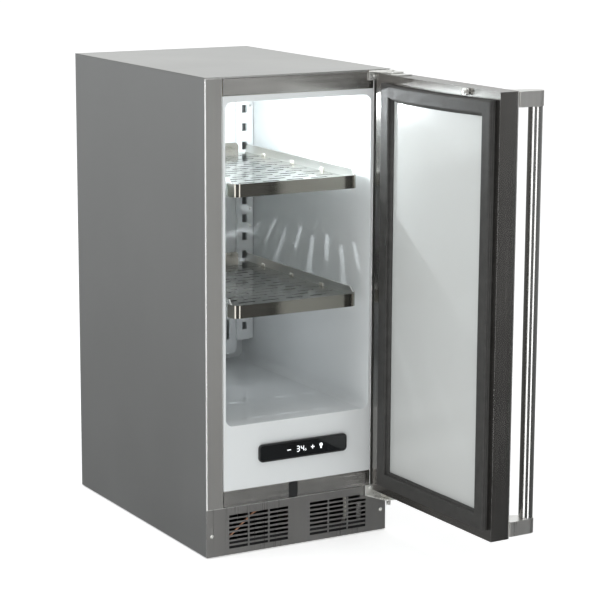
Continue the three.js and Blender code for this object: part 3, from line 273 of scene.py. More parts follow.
def make_reflected_panel(name, direction_degrees, width):
    shape = bmesh.new()
    bmesh.ops.create_grid(shape, x_segments=1, y_segments=1, size=0.5)
    bmesh.ops.scale(shape, vec=(width, PANEL_HEIGHT, 1), verts=shape.verts)
    stand = Matrix.Rotation(math.pi / 2, 3, "X")
    bmesh.ops.rotate(shape, cent=(0, 0, 0), matrix=stand, verts=shape.verts)
    direction = math.radians(direction_degrees)
    turn = Matrix.Rotation(direction + math.pi / 2, 3, "Z")
    bmesh.ops.rotate(shape, cent=(0, 0, 0), matrix=turn, verts=shape.verts)
    place = Vector((math.cos(direction), math.sin(direction), 0)) * PANEL_DISTANCE
    bmesh.ops.translate(shape, vec=(place.x, place.y, PANEL_MIDDLE), verts=shape.verts)
    mesh = bpy.data.meshes.new(name)
    shape.to_mesh(mesh)
    shape.free()
    panel = bpy.data.objects.new(name, mesh)
    bpy.context.scene.collection.objects.link(panel)
    glow = bpy.data.materials.new(name + "_glow")
    glow.use_nodes = True
    surface = glow.node_tree.nodes["Principled BSDF"]
    surface.inputs["Base Color"].default_value = (0, 0, 0, 1)
    surface.inputs["Emission Color"].default_value = (1, 1, 1, 1)
    surface.inputs["Emission Strength"].default_value = PANEL_STRENGTH
    glow.cycles.emission_sampling = "NONE"
    mesh.materials.append(glow)
    panel.visible_camera = False
    panel.visible_diffuse = False
    panel.visible_shadow = False
    return panel


for name, (direction_degrees, width) in PANELS.items():
    panel = make_reflected_panel(name, direction_degrees, width)
    print("panel:", panel.name, "at", direction_degrees, "degrees")

# %% [markdown]
# All finishes start from the same few nodes. This small helper adds a node, sets its values and
# wires it, so each recipe below reads like a list of what the surface does. A noise's triple
# says how many of its waves fit into a metre along X, Y and Z, and a bump's first number is
# its depth in metres.

# %% Node helper
class Finish:
    """One material and a short way to add nodes to it."""

    def __init__(self, name):
        self.material = bpy.data.materials.new(name)
        self.material.use_nodes = True
        self.tree = self.material.node_tree
        self.surface = self.tree.nodes["Principled BSDF"]
        self.place = self.tree.nodes.new("ShaderNodeTexCoord")

    def add(self, kind, settings=None, **inputs):
        node = self.tree.nodes.new("ShaderNode" + kind)
        for key, value in (settings or {}).items():
            setattr(node, key, value)
        for key, value in inputs.items():
            self.set(node.inputs[key.replace("_", " ")], value)
        return node

    def set(self, socket, value):
        if isinstance(value, bpy.types.NodeSocket):
            self.tree.links.new(value, socket)
        else:
            socket.default_value = value

    def shade(self, **inputs):
        for key, value in inputs.items():
            self.set(self.surface.inputs[key.replace("_", " ")], value)

    def noise(self, stretch, detail, roughness):
        mapping = self.add("Mapping", Vector=self.place.outputs["Object"], Scale=stretch)
        streaks = self.add(
            "TexNoise", Vector=mapping.outputs[0], Scale=1.0, Detail=detail, Roughness=roughness,
        )
        return streaks.outputs["Fac"]

    def spread(self, value, low, high, start=0.3, end=0.7):
        node = self.add("MapRange", Value=value)
        node.inputs["From Min"].default_value = start
        node.inputs["From Max"].default_value = end
        node.inputs["To Min"].default_value = low
        node.inputs["To Max"].default_value = high
        return node.outputs["Result"]

    def tint(self, colour, factor):
        node = self.add("Mix", {"data_type": "RGBA", "blend_type": "MULTIPLY"})
        node.inputs[0].default_value = 1.0
        self.set(node.inputs[6], (*colour, 1))
        self.set(node.inputs[7], factor)
        return node.outputs[2]

    def bump(self, height, depth, strength):
        node = self.add("Bump", Height=height, Distance=depth, Strength=strength)
        return node.outputs["Normal"]


print("node helper ready:", Finish.__name__)

# %% [markdown]
# Brushed stainless steel is drawn over a belt, so its scratches run one way. They are far longer
# than they are wide: noise stretched along the grain gives streaks at two widths, and the
# same streaks move the colour a little, the roughness more, and the height least of all.
# Slow clouds of roughness stand for wiping marks.

# %% Brushed steel
ALONG_X = (1, 0, 0)
ALONG_Y = (0, 1, 0)
ALONG_Z = (0, 0, 1)
FINE_STREAK = 1500.0
BROAD_STREAK = 260.0
STREAK_LENGTH = 3.0
WIPE_SIZE = 7
WIPE_POLISH = (-0.02, 0.03)
STREAK_POLISH = (-0.05, 0.07)
SCRATCH_DEPTH = 0.00004
SCRATCH_STRENGTH = 0.35
STREAK_STRETCH = 0.5


def along(grain, length, width):
    return tuple(length if g else width for g in grain)


def brushed_steel(name, colour, grain, roughness, streaks):
    finish = Finish(name)
    fine = finish.noise(along(grain, STREAK_LENGTH * 2, FINE_STREAK), 4.0, 0.7)
    broad = finish.noise(along(grain, STREAK_LENGTH, BROAD_STREAK), 3.0, 0.6)
    clouds = finish.noise((WIPE_SIZE, WIPE_SIZE, WIPE_SIZE), 2.0, 0.5)
    both = finish.add("Math", {"operation": "ADD"})
    finish.set(both.inputs[0], finish.spread(fine, -0.5, 0.5))
    finish.set(both.inputs[1], finish.spread(broad, -0.5, 0.5))
    shade = finish.spread(both.outputs[0], 1 - streaks, 1 + streaks, -1.0, 1.0)
    smoothest, roughest = (roughness + change for change in STREAK_POLISH)
    polish = finish.spread(both.outputs[0], smoothest, roughest, -1.0, 1.0)
    wiped = finish.add("Math", {"operation": "ADD"})
    finish.set(wiped.inputs[0], polish)
    finish.set(wiped.inputs[1], finish.spread(clouds, *WIPE_POLISH))
    finish.shade(
        Base_Color=finish.tint(colour, shade),
        Metallic=1.0,
        Roughness=wiped.outputs[0],
        Anisotropic=STREAK_STRETCH,
        Normal=finish.bump(fine, SCRATCH_DEPTH, SCRATCH_STRENGTH),
    )
    return finish.material


side_steel = brushed_steel("side_steel", (0.50, 0.505, 0.505), ALONG_Z, 0.42, 0.03)
# The side panels' front flanges are the same sheet as the sides, given a darker copy of its steel: painted shade.
flange_steel = brushed_steel("front_flange_steel", (0.36, 0.357, 0.345), ALONG_Z, 0.38, 0.03)
# The folded edges take a near-white steel: a painted highlight that strengthens the bright line their thin rounds
# catch.
fold_highlight_steel = brushed_steel("folded_edge_steel", (0.97, 0.97, 0.96), ALONG_Z, 0.27, 0.02)
top_steel = brushed_steel("top_steel", (0.50, 0.50, 0.49), ALONG_X, 0.34, 0.025)
rail_steel = brushed_steel("rail_steel", (0.70, 0.69, 0.665), ALONG_X, 0.20, 0.025)
grille_steel = brushed_steel("grille_steel", (0.33, 0.327, 0.318), ALONG_Z, 0.30, 0.03)
trim_steel = brushed_steel("shelf_trim_steel", (0.34, 0.33, 0.295), ALONG_X, 0.07, 0.04)
deck_steel = brushed_steel("shelf_deck_steel", (0.42, 0.415, 0.39), ALONG_X, 0.12, 0.05)
shelf_end_steel = brushed_steel("shelf_end_steel", (0.86, 0.86, 0.84), ALONG_Y, 0.30, 0.05)
door_steel = brushed_steel("door_steel", (0.32, 0.31, 0.297), ALONG_Z, 0.20, 0.02)
handle_steel = brushed_steel("handle_steel", (0.62, 0.62, 0.61), ALONG_Z, 0.10, 0.02)
bracket_steel = brushed_steel("handle_bracket_steel", (0.80, 0.79, 0.77), ALONG_Z, 0.30, 0.05)
print("steels:", len([m for m in bpy.data.materials if "steel" in m.name]))

# %% [markdown]
# The liner, the evaporator cover, the pilasters and the door's inner panel are sheet plastic,
# white and glossy with the faint orange peel that forming leaves. The colour drifts slightly
# because the sheet is thinner where it was drawn deep. The same recipe gives the black
# mouldings, the nylon parts, the display's window and the circuit board their finishes.

# %% White and black plastic
PEBBLES = (420, 420, 420)
PEBBLE_POLISH = 0.03
SHEET_CLOUDS = (5, 5, 5)
SHEET_DRIFT = 0.01
GLASSY_PEEL = 0.00001


def moulded_plastic(name, colour, roughness, peel=0.00005, coat=0.0):
    finish = Finish(name)
    pebbles = finish.noise(PEBBLES, 2.0, 0.5)
    clouds = finish.noise(SHEET_CLOUDS, 3.0, 0.5)
    finish.shade(
        Base_Color=finish.tint(colour, finish.spread(clouds, 1 - SHEET_DRIFT, 1 + SHEET_DRIFT)),
        Roughness=finish.spread(pebbles, roughness - PEBBLE_POLISH, roughness + PEBBLE_POLISH),
        Coat_Weight=coat,
        Normal=finish.bump(pebbles, peel, 0.5),
    )
    return finish.material


liner_white = moulded_plastic("liner_white", (0.775, 0.80, 0.805), 0.06, GLASSY_PEEL)
cover_white = moulded_plastic("cover_white", (0.80, 0.825, 0.83), 0.30)
door_white = moulded_plastic("door_panel_white", (0.58, 0.595, 0.585), 0.24)
black_moulding = moulded_plastic("black_moulding", (0.018, 0.019, 0.02), 0.32)
natural_nylon = moulded_plastic("natural_nylon", (0.72, 0.70, 0.64), 0.45)
display_black = moulded_plastic("display_black", (0.008, 0.009, 0.010), 0.10, GLASSY_PEEL, 0.6)
board_green = moulded_plastic("board_green", (0.03, 0.14, 0.06), 0.4)
plastics = [
    liner_white, cover_white, door_white, black_moulding, natural_nylon, display_black, board_green,
]
print("plastics:", [plastic.name for plastic in plastics])

# %% [markdown]
# The rest of the finishes: soft vinyl on the gasket, zinc on hinges and legs, spangled
# galvanised sheet at the back, baked black paint, bare aluminium and copper in the cooling
# circuit, poured foam and the frosted lamp lens. Each is noise in metres on the object's own
# coordinates, so its grain has its real size and needs no unwrapping.

# %% Vinyl, zinc, galvanised sheet, paint, foam and lens
def gasket_vinyl():
    finish = Finish("gasket_vinyl")
    dust = finish.noise((60, 60, 60), 4.0, 0.6)
    skin = finish.noise((900, 900, 900), 2.0, 0.5)
    finish.shade(
        Base_Color=finish.tint((0.050, 0.049, 0.047), finish.spread(dust, 0.8, 1.25)),
        Roughness=finish.spread(dust, 0.46, 0.62),
        Specular_IOR_Level=0.35,
        Normal=finish.bump(skin, 0.00003, 0.4),
    )
    return finish.material


def zinc_plate():
    finish = Finish("zinc_plate")
    cloud = finish.noise((45, 45, 45), 4.0, 0.6)
    pits = finish.noise((1600, 1600, 1600), 2.0, 0.5)
    finish.shade(
        Base_Color=finish.tint((0.86, 0.86, 0.83), finish.spread(cloud, 0.82, 1.08)),
        Metallic=0.55,
        Roughness=finish.spread(cloud, 0.22, 0.40),
        Normal=finish.bump(pits, 0.00003, 0.4),
    )
    return finish.material


def galvanised_sheet():
    finish = Finish("galvanised_sheet")
    mapping = finish.add("Mapping", Vector=finish.place.outputs["Object"], Scale=(140, 140, 140))
    spangle = finish.add("TexVoronoi", Vector=mapping.outputs[0], Scale=1.0, Randomness=1.0)
    tone = finish.spread(spangle.outputs["Color"], 0.80, 1.06, 0.0, 1.0)
    finish.shade(
        Base_Color=finish.tint((0.52, 0.54, 0.55), tone),
        Metallic=0.9,
        Roughness=finish.spread(spangle.outputs["Color"], 0.34, 0.56, 0.0, 1.0),
        Normal=finish.bump(tone, 0.00004, 0.3),
    )
    return finish.material


def baked_paint():
    finish = Finish("black_paint")
    dust = finish.noise((14, 14, 14), 4.0, 0.6)
    peel = finish.noise((260, 260, 260), 2.0, 0.5)
    finish.shade(
        Base_Color=finish.tint((0.02, 0.02, 0.021), finish.spread(dust, 0.8, 1.6)),
        Roughness=finish.spread(dust, 0.30, 0.48),
        Normal=finish.bump(peel, 0.00008, 0.5),
    )
    return finish.material


def bare_metal(name, colour, roughness):
    finish = Finish(name)
    tarnish = finish.noise((30, 30, 30), 4.0, 0.6)
    drawn = finish.noise((40, 900, 900), 2.0, 0.5)
    finish.shade(
        Base_Color=finish.tint(colour, finish.spread(tarnish, 0.72, 1.08)),
        Metallic=1.0,
        Roughness=finish.spread(tarnish, roughness - 0.05, roughness + 0.12),
        Normal=finish.bump(drawn, 0.00003, 0.4),
    )
    return finish.material


def poured_foam():
    finish = Finish("poured_foam")
    cells = finish.noise((260, 260, 260), 5.0, 0.7)
    finish.shade(
        Base_Color=finish.tint((0.78, 0.66, 0.36), finish.spread(cells, 0.85, 1.1)),
        Roughness=0.9,
        Normal=finish.bump(cells, 0.0004, 0.6),
    )
    return finish.material


def frosted_lens():
    finish = Finish("lamp_lens")
    frost = finish.noise((500, 500, 500), 2.0, 0.5)
    finish.shade(
        Base_Color=(0.95, 0.96, 0.95, 1),
        Roughness=finish.spread(frost, 0.2, 0.4),
        Emission_Color=(0.93, 0.97, 1.0, 1),
        Emission_Strength=6.0,
    )
    return finish.material


vinyl = gasket_vinyl()
zinc = zinc_plate()
galvanised = galvanised_sheet()
# This black is real paint on the compressor and motors, and painted shade on the base pan.
black_paint = baked_paint()
fin_aluminium = bare_metal("fin_aluminium", (0.72, 0.74, 0.75), 0.35)
tube_copper = bare_metal("tube_copper", (0.72, 0.38, 0.24), 0.28)
foam = poured_foam()
lens = frosted_lens()
print("materials in all:", len(bpy.data.materials))

# %% [markdown]
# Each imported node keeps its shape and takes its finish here. A table from finish to nodes is
# easier to read than sixty separate lines, and the print shows any node that it forgets.
# A node that a finer piece replaces later still gets one, so nothing is ever left plain.

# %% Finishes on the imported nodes
FINISHES = {
    side_steel: ["left_side_panel", "right_side_panel"],
    top_steel: ["top_panel"],
    rail_steel: ["top_front_rail", "bottom_front_rail"],
    grille_steel: ["toe_grille"],
    trim_steel: ["upper_shelf_trim", "lower_shelf_trim"],
    shelf_end_steel: [
        "upper_shelf_left_bracket", "upper_shelf_right_bracket",
        "lower_shelf_left_bracket", "lower_shelf_right_bracket",
    ],
    deck_steel: ["upper_shelf_deck", "lower_shelf_deck"],
    door_steel: ["door_outer_skin"],
    handle_steel: ["handle_tube", "lock_barrel"],
    bracket_steel: ["top_handle_bracket", "bottom_handle_bracket"],
    liner_white: ["inner_liner", "lamp_base"],
    cover_white: ["evaporator_cover", "left_pilaster", "right_pilaster"],
    door_white: ["door_inner_panel"],
    black_moulding: [
        "power_inlet", "door_sensor_window", "control_bezel",
        "condenser_fan_shroud", "drain_pan", "evaporator_fan_blade",
    ],
    natural_nylon: ["top_hinge_bushing", "bottom_hinge_bushing", "condenser_fan_blade"],
    display_black: ["display_window"],
    board_green: ["control_board"],
    vinyl: ["door_gasket"],
    zinc: [
        "top_hinge_bracket", "bottom_hinge_bracket", "top_hinge_pin", "bottom_hinge_pin",
        "top_door_hinge_plate", "bottom_door_hinge_plate", "lock_cam",
        "front_left_levelling_leg", "front_right_levelling_leg",
        "rear_left_levelling_leg", "rear_right_levelling_leg",
    ],
    galvanised: ["rear_panel", "rear_service_cover"],
    # The base pan is galvanised sheet; it takes the black here as painted shade for the dark space under the
    # cabinet.
    black_paint: [
        "compressor", "condenser_fan_motor", "evaporator_fan_motor", "condenser_coil", "base_pan",
    ],
    fin_aluminium: ["evaporator_coil"],
    tube_copper: ["filter_drier"],
    foam: ["insulation_foam", "door_foam"],
    lens: ["lamp_lens"],
}


def give_finish(node, material):
    mesh = nodes[node].data
    mesh.materials.clear()
    mesh.materials.append(material)


for material, members in FINISHES.items():
    for member in members:
        give_finish(member, material)
unfinished = sorted(set(nodes) - {n for group in FINISHES.values() for n in group})
print("nodes without a finish:", unfinished)

# %% [markdown]
# Folded sheet has a rounded outside edge, and that thin round catches a bright line of light. The
# packed sheet parts have square folds, so a copy of each is merged, its flat facets are
# joined, and only its outer folds are bevelled. The copy then stands for the imported node.
# On the side panels, the top, the grille and the door skin, the folds also take a near-white
# steel, a painted highlight on that bright line.

# %% Rounded folds
bodies = frame["record"]["behaviour"]["bodies"]
BODY_OF = {node: body for body, members in bodies.items() for node in members}
WELD = 1e-6
FLAT_ANGLE = math.radians(0.5)
SMOOTH_ANGLE = math.radians(38)
FOLD_ANGLE = math.radians(30)
FOLD_SEGMENTS = 3
SHORTEST_FOLD = 20 * MM
WIDEST_HEM = 3 * MM
HINGE_HEM = 2.2 * MM
BROAD_FACE_WEIGHT = 100


def finished_object(name, shape, material, body):
    """Turns a bmesh into a piece that rides on a body, with smooth faces and sharp folds."""
    mesh = bpy.data.meshes.new(name)
    shape.to_mesh(mesh)
    shape.free()
    mesh.polygons.foreach_set("use_smooth", [True] * len(mesh.polygons))
    mesh.set_sharp_from_angle(angle=SMOOTH_ANGLE)
    mesh.materials.append(material)
    piece = bpy.data.objects.new(name, mesh)
    bpy.context.scene.collection.objects.link(piece)
    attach(piece, body)
    return piece


def outer_fold(edge, widest_hem):
    """True for a long outward fold whose sheets are both wider than a hem."""
    if len(edge.link_faces) != 2 or not edge.is_convex:
        return False
    if edge.calc_face_angle() < FOLD_ANGLE or edge.calc_length() < SHORTEST_FOLD:
        return False
    return min(face.calc_area() / edge.calc_length() for face in edge.link_faces) > widest_hem


def weigh_faces(piece):
    """Lets the broad flat faces set the shading, so that only the rounds bend the light."""
    weighting = piece.modifiers.new("broad_faces_first", "WEIGHTED_NORMAL")
    weighting.mode = "FACE_AREA"
    weighting.weight = BROAD_FACE_WEIGHT
    weighting.keep_sharp = True


def rounded_copy(node, radius, widest_hem):
    source = nodes[node]
    shape = bmesh.new()
    shape.from_mesh(source.data)
    bmesh.ops.remove_doubles(shape, verts=shape.verts, dist=WELD)
    bmesh.ops.dissolve_limit(shape, angle_limit=FLAT_ANGLE, verts=shape.verts, edges=shape.edges)
    folds = [edge for edge in shape.edges if outer_fold(edge, widest_hem)]
    if folds:
        bmesh.ops.bevel(
            shape, geom=folds, offset=radius, segments=FOLD_SEGMENTS,
            affect="EDGES", profile=0.5, material=-1, clamp_overlap=True,
        )
    finish = source.data.materials[0]
    piece = finished_object("fine_" + node, shape, finish, BODY_OF[node])
    weigh_faces(piece)
    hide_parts(node)
    return piece


ROUNDED_NODES = {
    "left_side_panel": 2.2 * MM,
    "right_side_panel": 2.2 * MM,
    "top_panel": 0.45 * MM,
    "top_front_rail": 1.0 * MM,
    "bottom_front_rail": 1.0 * MM,
    "toe_grille": 0.5 * MM,
    "door_outer_skin": 2.0 * MM,
    "top_handle_bracket": 0.9 * MM,
    "bottom_handle_bracket": 0.9 * MM,
    "upper_shelf_trim": 0.8 * MM,
    "lower_shelf_trim": 0.8 * MM,
    "control_bezel": 0.9 * MM,
    "evaporator_cover": 1.8 * MM,
    "door_inner_panel": 0.8 * MM,
    "top_hinge_bracket": 0.5 * MM,
    "bottom_hinge_bracket": 0.5 * MM,
}
FLANGE_FACING = 0.98
FOLD_FACING = 0.15
FOLD_SLOT = 1
FRONT_SLOT = 2
# The folds of these pieces get the painted highlight.
BRIGHT_FOLDS = [
    "left_side_panel", "right_side_panel", "toe_grille", "door_outer_skin", "top_panel",
]


def paint_fold_highlights(piece, front_finish):
    """Paints each folded edge with a near-white steel as a painted highlight, and gives the flat front faces the
    front finish.
    """
    piece.data.materials.append(fold_highlight_steel)
    piece.data.materials.append(front_finish)
    for face in piece.data.polygons:
        across = sorted(abs(part) for part in face.normal)[1]
        if across > FOLD_FACING:
            face.material_index = FOLD_SLOT
        elif face.normal.y < -FLANGE_FACING:
            face.material_index = FRONT_SLOT


for node, radius in ROUNDED_NODES.items():
    piece = rounded_copy(node, radius, HINGE_HEM if "hinge" in node else WIDEST_HEM)
    if node in BRIGHT_FOLDS:
        # On the side panels the front faces take the darker flange steel, which is painted shade.
        paint_fold_highlights(piece, flange_steel if "side_panel" in node else piece.data.materials[0])
    print("rounded", node, "faces:", len(piece.data.polygons))

# %% [markdown]
# Two helpers carry most of the modelled detail. One starts from a loop of vertices and extrudes it
# from station to station, which is how a long seal or a bent tube grows. The other spins
# a half profile about an axis, which is how turned parts are made. A third carries a finished
# shape to its place.

# %% Shape helpers
def extruded_loops(loops, closed_run=False):
    """Joins loops of points into a skin. An open run is capped at both of its ends."""
    shape = bmesh.new()
    first = [shape.verts.new(point) for point in loops[0]]
    edges = [shape.edges.new((first[i], first[(i + 1) % len(first)])) for i in range(len(first))]
    start_edges = list(edges)
    count = len(first)
    order = first
    for station in loops[1:] + ([loops[0]] if closed_run else []):
        step = bmesh.ops.extrude_edge_only(shape, edges=edges)["geom"]
        made = [item for item in step if isinstance(item, bmesh.types.BMVert)]
        lookup = {}
        for vert in made:
            for edge in vert.link_edges:
                other = edge.other_vert(vert)
                if other in order:
                    lookup[order.index(other)] = vert
        order = [lookup[i] for i in range(count)]
        for vert, point in zip(order, station):
            vert.co = point
        edges = [
            item for item in step
            if isinstance(item, bmesh.types.BMEdge) and item.verts[0] in made and item.verts[1] in made
        ]
    if not closed_run:
        bmesh.ops.contextual_create(shape, geom=start_edges)
        bmesh.ops.contextual_create(shape, geom=edges)
    bmesh.ops.remove_doubles(shape, verts=shape.verts, dist=WELD)
    bmesh.ops.recalc_face_normals(shape, faces=shape.faces)
    return shape


def turned(profile, steps):
    """Spins (radius, height) points about +Z into a closed body."""
    shape = bmesh.new()
    verts = [shape.verts.new((radius, 0, height)) for radius, height in profile]
    edges = [shape.edges.new(pair) for pair in zip(verts, verts[1:])]
    bmesh.ops.spin(
        shape, geom=verts + edges, cent=(0, 0, 0), axis=(0, 0, 1),
        angle=2 * math.pi, steps=steps, use_merge=True,
    )
    bmesh.ops.remove_doubles(shape, verts=shape.verts, dist=WELD)
    bmesh.ops.recalc_face_normals(shape, faces=shape.faces)
    return shape


def moved(shape, place, axis=(0, 0, 1)):
    """Turns a shape's +Z to an axis and carries it to a place."""
    turn = Vector((0, 0, 1)).rotation_difference(Vector(axis)).to_matrix().to_4x4()
    bmesh.ops.transform(shape, matrix=Matrix.Translation(Vector(place)) @ turn, verts=shape.verts)
    return shape


print("shape helpers:", extruded_loops.__name__, turned.__name__, moved.__name__)

# %% [markdown]
# The door pieces lie on a door that is stored open. Their own frame is simplest: across from
# the latch edge, out from the inner face, and up. The door joint's pin and the angle that the
# door stands open by give that frame. Detail is drawn on the shut door, where its edges are
# square to the axes, and is then swung open with it.

# %% The open door's own frame
DOOR_OPEN_DEGREES = 91.3
door_joint = next(joint for joint in frame["joints"] if joint["name"] == "door_swing")
door_pin = Vector(door_joint["pos_m"])
door_turn = Matrix.Rotation(math.radians(DOOR_OPEN_DEGREES), 3, "Z")


def shut_box(node):
    """The lowest and highest corner of a door node, measured with the door swung shut."""
    back = door_turn.inverted()
    points = [back @ (v.co - door_pin) + door_pin for v in nodes[node].data.vertices]
    low = Vector([min(p[i] for p in points) for i in range(3)])
    high = Vector([max(p[i] for p in points) for i in range(3)])
    return low, high


def door_point(x, y, z):
    """A place given with the door shut, carried to where it is with the door open."""
    return door_turn @ (Vector((x, y, z)) - door_pin) + door_pin


skin_low, skin_high = shut_box("door_outer_skin")
print("shut door:", [round(v, 4) for v in skin_low], [round(v, 4) for v in skin_high])

# %% [markdown]
# The gasket is an extruded vinyl strip, cut at forty-five degrees and welded at its corners. Seen
# across, it has bellows on its outer side, a broad flat face with the magnet behind it, and a
# thin inner lip. The cross-section is carried round the four corners. Each straight run is
# divided so that it bows by under a millimetre, and the top run sags a little more.

# %% Ribbed gasket
# Each pair is a place across the strip from its outer edge, and a height off the door, in
# millimetres.
GASKET_BELLOWS = [
    (0.0, 0.4), (0.0, 1.4), (1.2, 2.0), (1.5, 2.6), (1.3, 3.2), (0.3, 3.9), (0.1, 4.6),
    (0.3, 5.3), (1.3, 6.0), (1.5, 6.6), (1.3, 7.2), (0.4, 7.9), (0.3, 9.0), (0.7, 10.2),
]
GASKET_FACE = [
    (1.9, 10.9), (4.0, 11.0), (8.0, 10.7), (13.0, 10.5), (18.0, 10.7), (22.0, 10.9),
    (24.2, 10.6), (25.4, 9.6), (25.6, 8.2), (25.0, 6.6),
]
GASKET_LIP = [
    (25.2, 5.2), (26.4, 4.4), (28.6, 3.8), (29.8, 2.6), (30.0, 1.4), (30.0, 0.4),
]
GASKET_SECTION = GASKET_BELLOWS + GASKET_FACE + GASKET_LIP
GASKET_SINK = 0.3
RUN_STEPS = 14
BOW = 0.7
BOW_STEADY = 0.6
BOW_WAVES = 9
TOP_SAG = 3.2


def gasket_station(corner_x, corner_z, inward_x, inward_z, foot):
    return [
        door_point(
            corner_x + inward_x * across * MM,
            foot + (height - GASKET_SINK) * MM,
            corner_z + inward_z * across * MM,
        )
        for across, height in GASKET_SECTION
    ]


def gasket_bow(t, index):
    """How far a run stands inward from its straight line, at a share t of its length."""
    uneven = BOW_STEADY + (1 - BOW_STEADY) * math.sin(BOW_WAVES * t + index)
    return BOW * MM * math.sin(math.pi * t) * uneven


def make_gasket():
    low, high = shut_box("door_gasket")
    corners = [
        (low.x, low.z, 1, 1), (high.x, low.z, -1, 1), (high.x, high.z, -1, -1), (low.x, high.z, 1, -1),
    ]
    loops = []
    for index, (x0, z0, ix0, iz0) in enumerate(corners):
        x1, z1, ix1, iz1 = corners[(index + 1) % 4]
        for step in range(RUN_STEPS):
            t = step / RUN_STEPS
            bow = gasket_bow(t, index)
            if z0 == z1 == high.z:
                bow += TOP_SAG * MM * math.sin(math.pi * math.sqrt(t))
            x = x0 + (x1 - x0) * t + (bow * ix0 if z0 != z1 else 0)
            z = z0 + (z1 - z0) * t + (bow * iz0 if z0 == z1 else 0)
            inward = (ix0 + (ix1 - ix0) * t, iz0 + (iz1 - iz0) * t)
            loops.append(gasket_station(x, z, *inward, low.y))
    shape = extruded_loops(loops, closed_run=True)
    piece = finished_object("ribbed_gasket", shape, vinyl, "door")
    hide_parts("door_gasket")
    return piece


gasket = make_gasket()
print("gasket faces:", len(gasket.data.polygons))

# %% [markdown]
# The handle is a polished tube held between two brackets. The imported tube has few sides, and
# a mirror finish would show each of them. It is turned afresh with many sides so that its
# long reflections stay smooth.

# %% Handle tube
TUBE_SIDES = 72
TUBE_WALL = 1.5 * MM
TUBE_EDGE = 0.4 * MM


def make_handle_tube():
    low, high = shut_box("handle_tube")
    radius = (high.x - low.x) / 2
    height = high.z - low.z
    profile = [
        (radius - TUBE_WALL, 0), (radius - TUBE_EDGE, 0), (radius, TUBE_EDGE),
        (radius, height - TUBE_EDGE), (radius - TUBE_EDGE, height),
        (radius - TUBE_WALL, height), (radius - TUBE_WALL, 0),
    ]
    place = door_point((low.x + high.x) / 2, (low.y + high.y) / 2, low.z)
    shape = moved(turned(profile, TUBE_SIDES), place)
    piece = finished_object("polished_handle_tube", shape, handle_steel, "door")
    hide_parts("handle_tube")
    return piece


handle_tube = make_handle_tube()
print("handle tube faces:", len(handle_tube.data.polygons))

# %% [markdown]
# Screws are small, but a bare hinge flange looks unfinished without them. Each head is a turned
# dome with a cross-shaped driver recess: the two rings of vertices at the recess are pulled in
# and out four times round to make the cross.

# %% Screw maker
SCREW_STEPS = 32
SCREW_CROWN = 0.62
SCREW_EYE = 0.0001
RECESS_FLOOR = 0.22
RECESS_RIM = 0.48
RECESS_SLACK = 0.02
# Each pair is a share of the head's radius and a share of its crown.
SCREW_PROFILE = [
    (SCREW_EYE, 0.30), (RECESS_FLOOR, 0.34), (RECESS_RIM, 0.98), (0.62, 0.90), (0.84, 0.62),
    (0.97, 0.25), (1.0, 0.0), (0.3, 0.0), (SCREW_EYE, 0.0),
]
RECESS_ARMS = 4
RECESS_NARROW = 0.45
RECESS_WIDE = 0.6


def in_recess(vert, radius):
    reach = math.hypot(vert.co.x, vert.co.y) / radius
    at_rim = abs(reach - RECESS_RIM) < RECESS_SLACK
    at_floor = abs(reach - RECESS_FLOOR) < RECESS_SLACK
    return (at_rim or at_floor) and vert.co.z > 0


def make_screw(name, place, axis, radius):
    """A plated screw head that rides on the cabinet."""
    crown = radius * SCREW_CROWN
    shape = turned([(radius * share, crown * rise) for share, rise in SCREW_PROFILE], SCREW_STEPS)
    for vert in shape.verts:
        if in_recess(vert, radius):
            lobe = 0.5 + 0.5 * math.cos(RECESS_ARMS * math.atan2(vert.co.y, vert.co.x))
            vert.co.x *= RECESS_NARROW + RECESS_WIDE * lobe
            vert.co.y *= RECESS_NARROW + RECESS_WIDE * lobe
    return finished_object(name, moved(shape, place, axis), zinc, "cabinet")


print("screw profile points:", len(SCREW_PROFILE))

# %% [markdown]
# Two screws hold each hinge bracket to the cabinet's front flange, and one at each end holds the
# toe grille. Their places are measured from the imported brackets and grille, so they stay on
# the metal that they fasten.

# %% Front screws
FRONT = (0, -1, 0)
HINGE_FLANGE_FACE = -0.2783
HINGE_SCREW_INSET = 12 * MM
HINGE_SCREW_RADIUS = 3.6 * MM
TOP_HINGE_SCREW_HEIGHT = 858.5 * MM
BOTTOM_HINGE_SCREW_HEIGHT = 87.0 * MM
GRILLE_SCREW_HEIGHT = 41 * MM
GRILLE_SCREW_INSET = 10.3 * MM
GRILLE_SCREW_SINK = 0.2 * MM
GRILLE_SCREW_RADIUS = 3.9 * MM
grille_low, grille_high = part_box("toe_grille")
top_low, top_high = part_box("top_hinge_bracket")
foot_low, foot_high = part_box("bottom_hinge_bracket")
HINGE_SCREWS = {
    "top_hinge_screw_left": (top_low.x + HINGE_SCREW_INSET, TOP_HINGE_SCREW_HEIGHT),
    "top_hinge_screw_right": (top_high.x - HINGE_SCREW_INSET, TOP_HINGE_SCREW_HEIGHT),
    "bottom_hinge_screw_left": (foot_low.x + HINGE_SCREW_INSET, BOTTOM_HINGE_SCREW_HEIGHT),
    "bottom_hinge_screw_right": (foot_high.x - HINGE_SCREW_INSET, BOTTOM_HINGE_SCREW_HEIGHT),
}
for name, (x, z) in HINGE_SCREWS.items():
    make_screw(name, (x, HINGE_FLANGE_FACE, z), FRONT, HINGE_SCREW_RADIUS)
GRILLE_SCREWS = {"grille_screw_left": -1, "grille_screw_right": 1}
for name, side in GRILLE_SCREWS.items():
    x = side * (grille_high.x - GRILLE_SCREW_INSET)
    place = (x, grille_low.y + GRILLE_SCREW_SINK, GRILLE_SCREW_HEIGHT)
    make_screw(name, place, FRONT, GRILLE_SCREW_RADIUS)
print("front screws:", len(HINGE_SCREWS) + len(GRILLE_SCREWS))

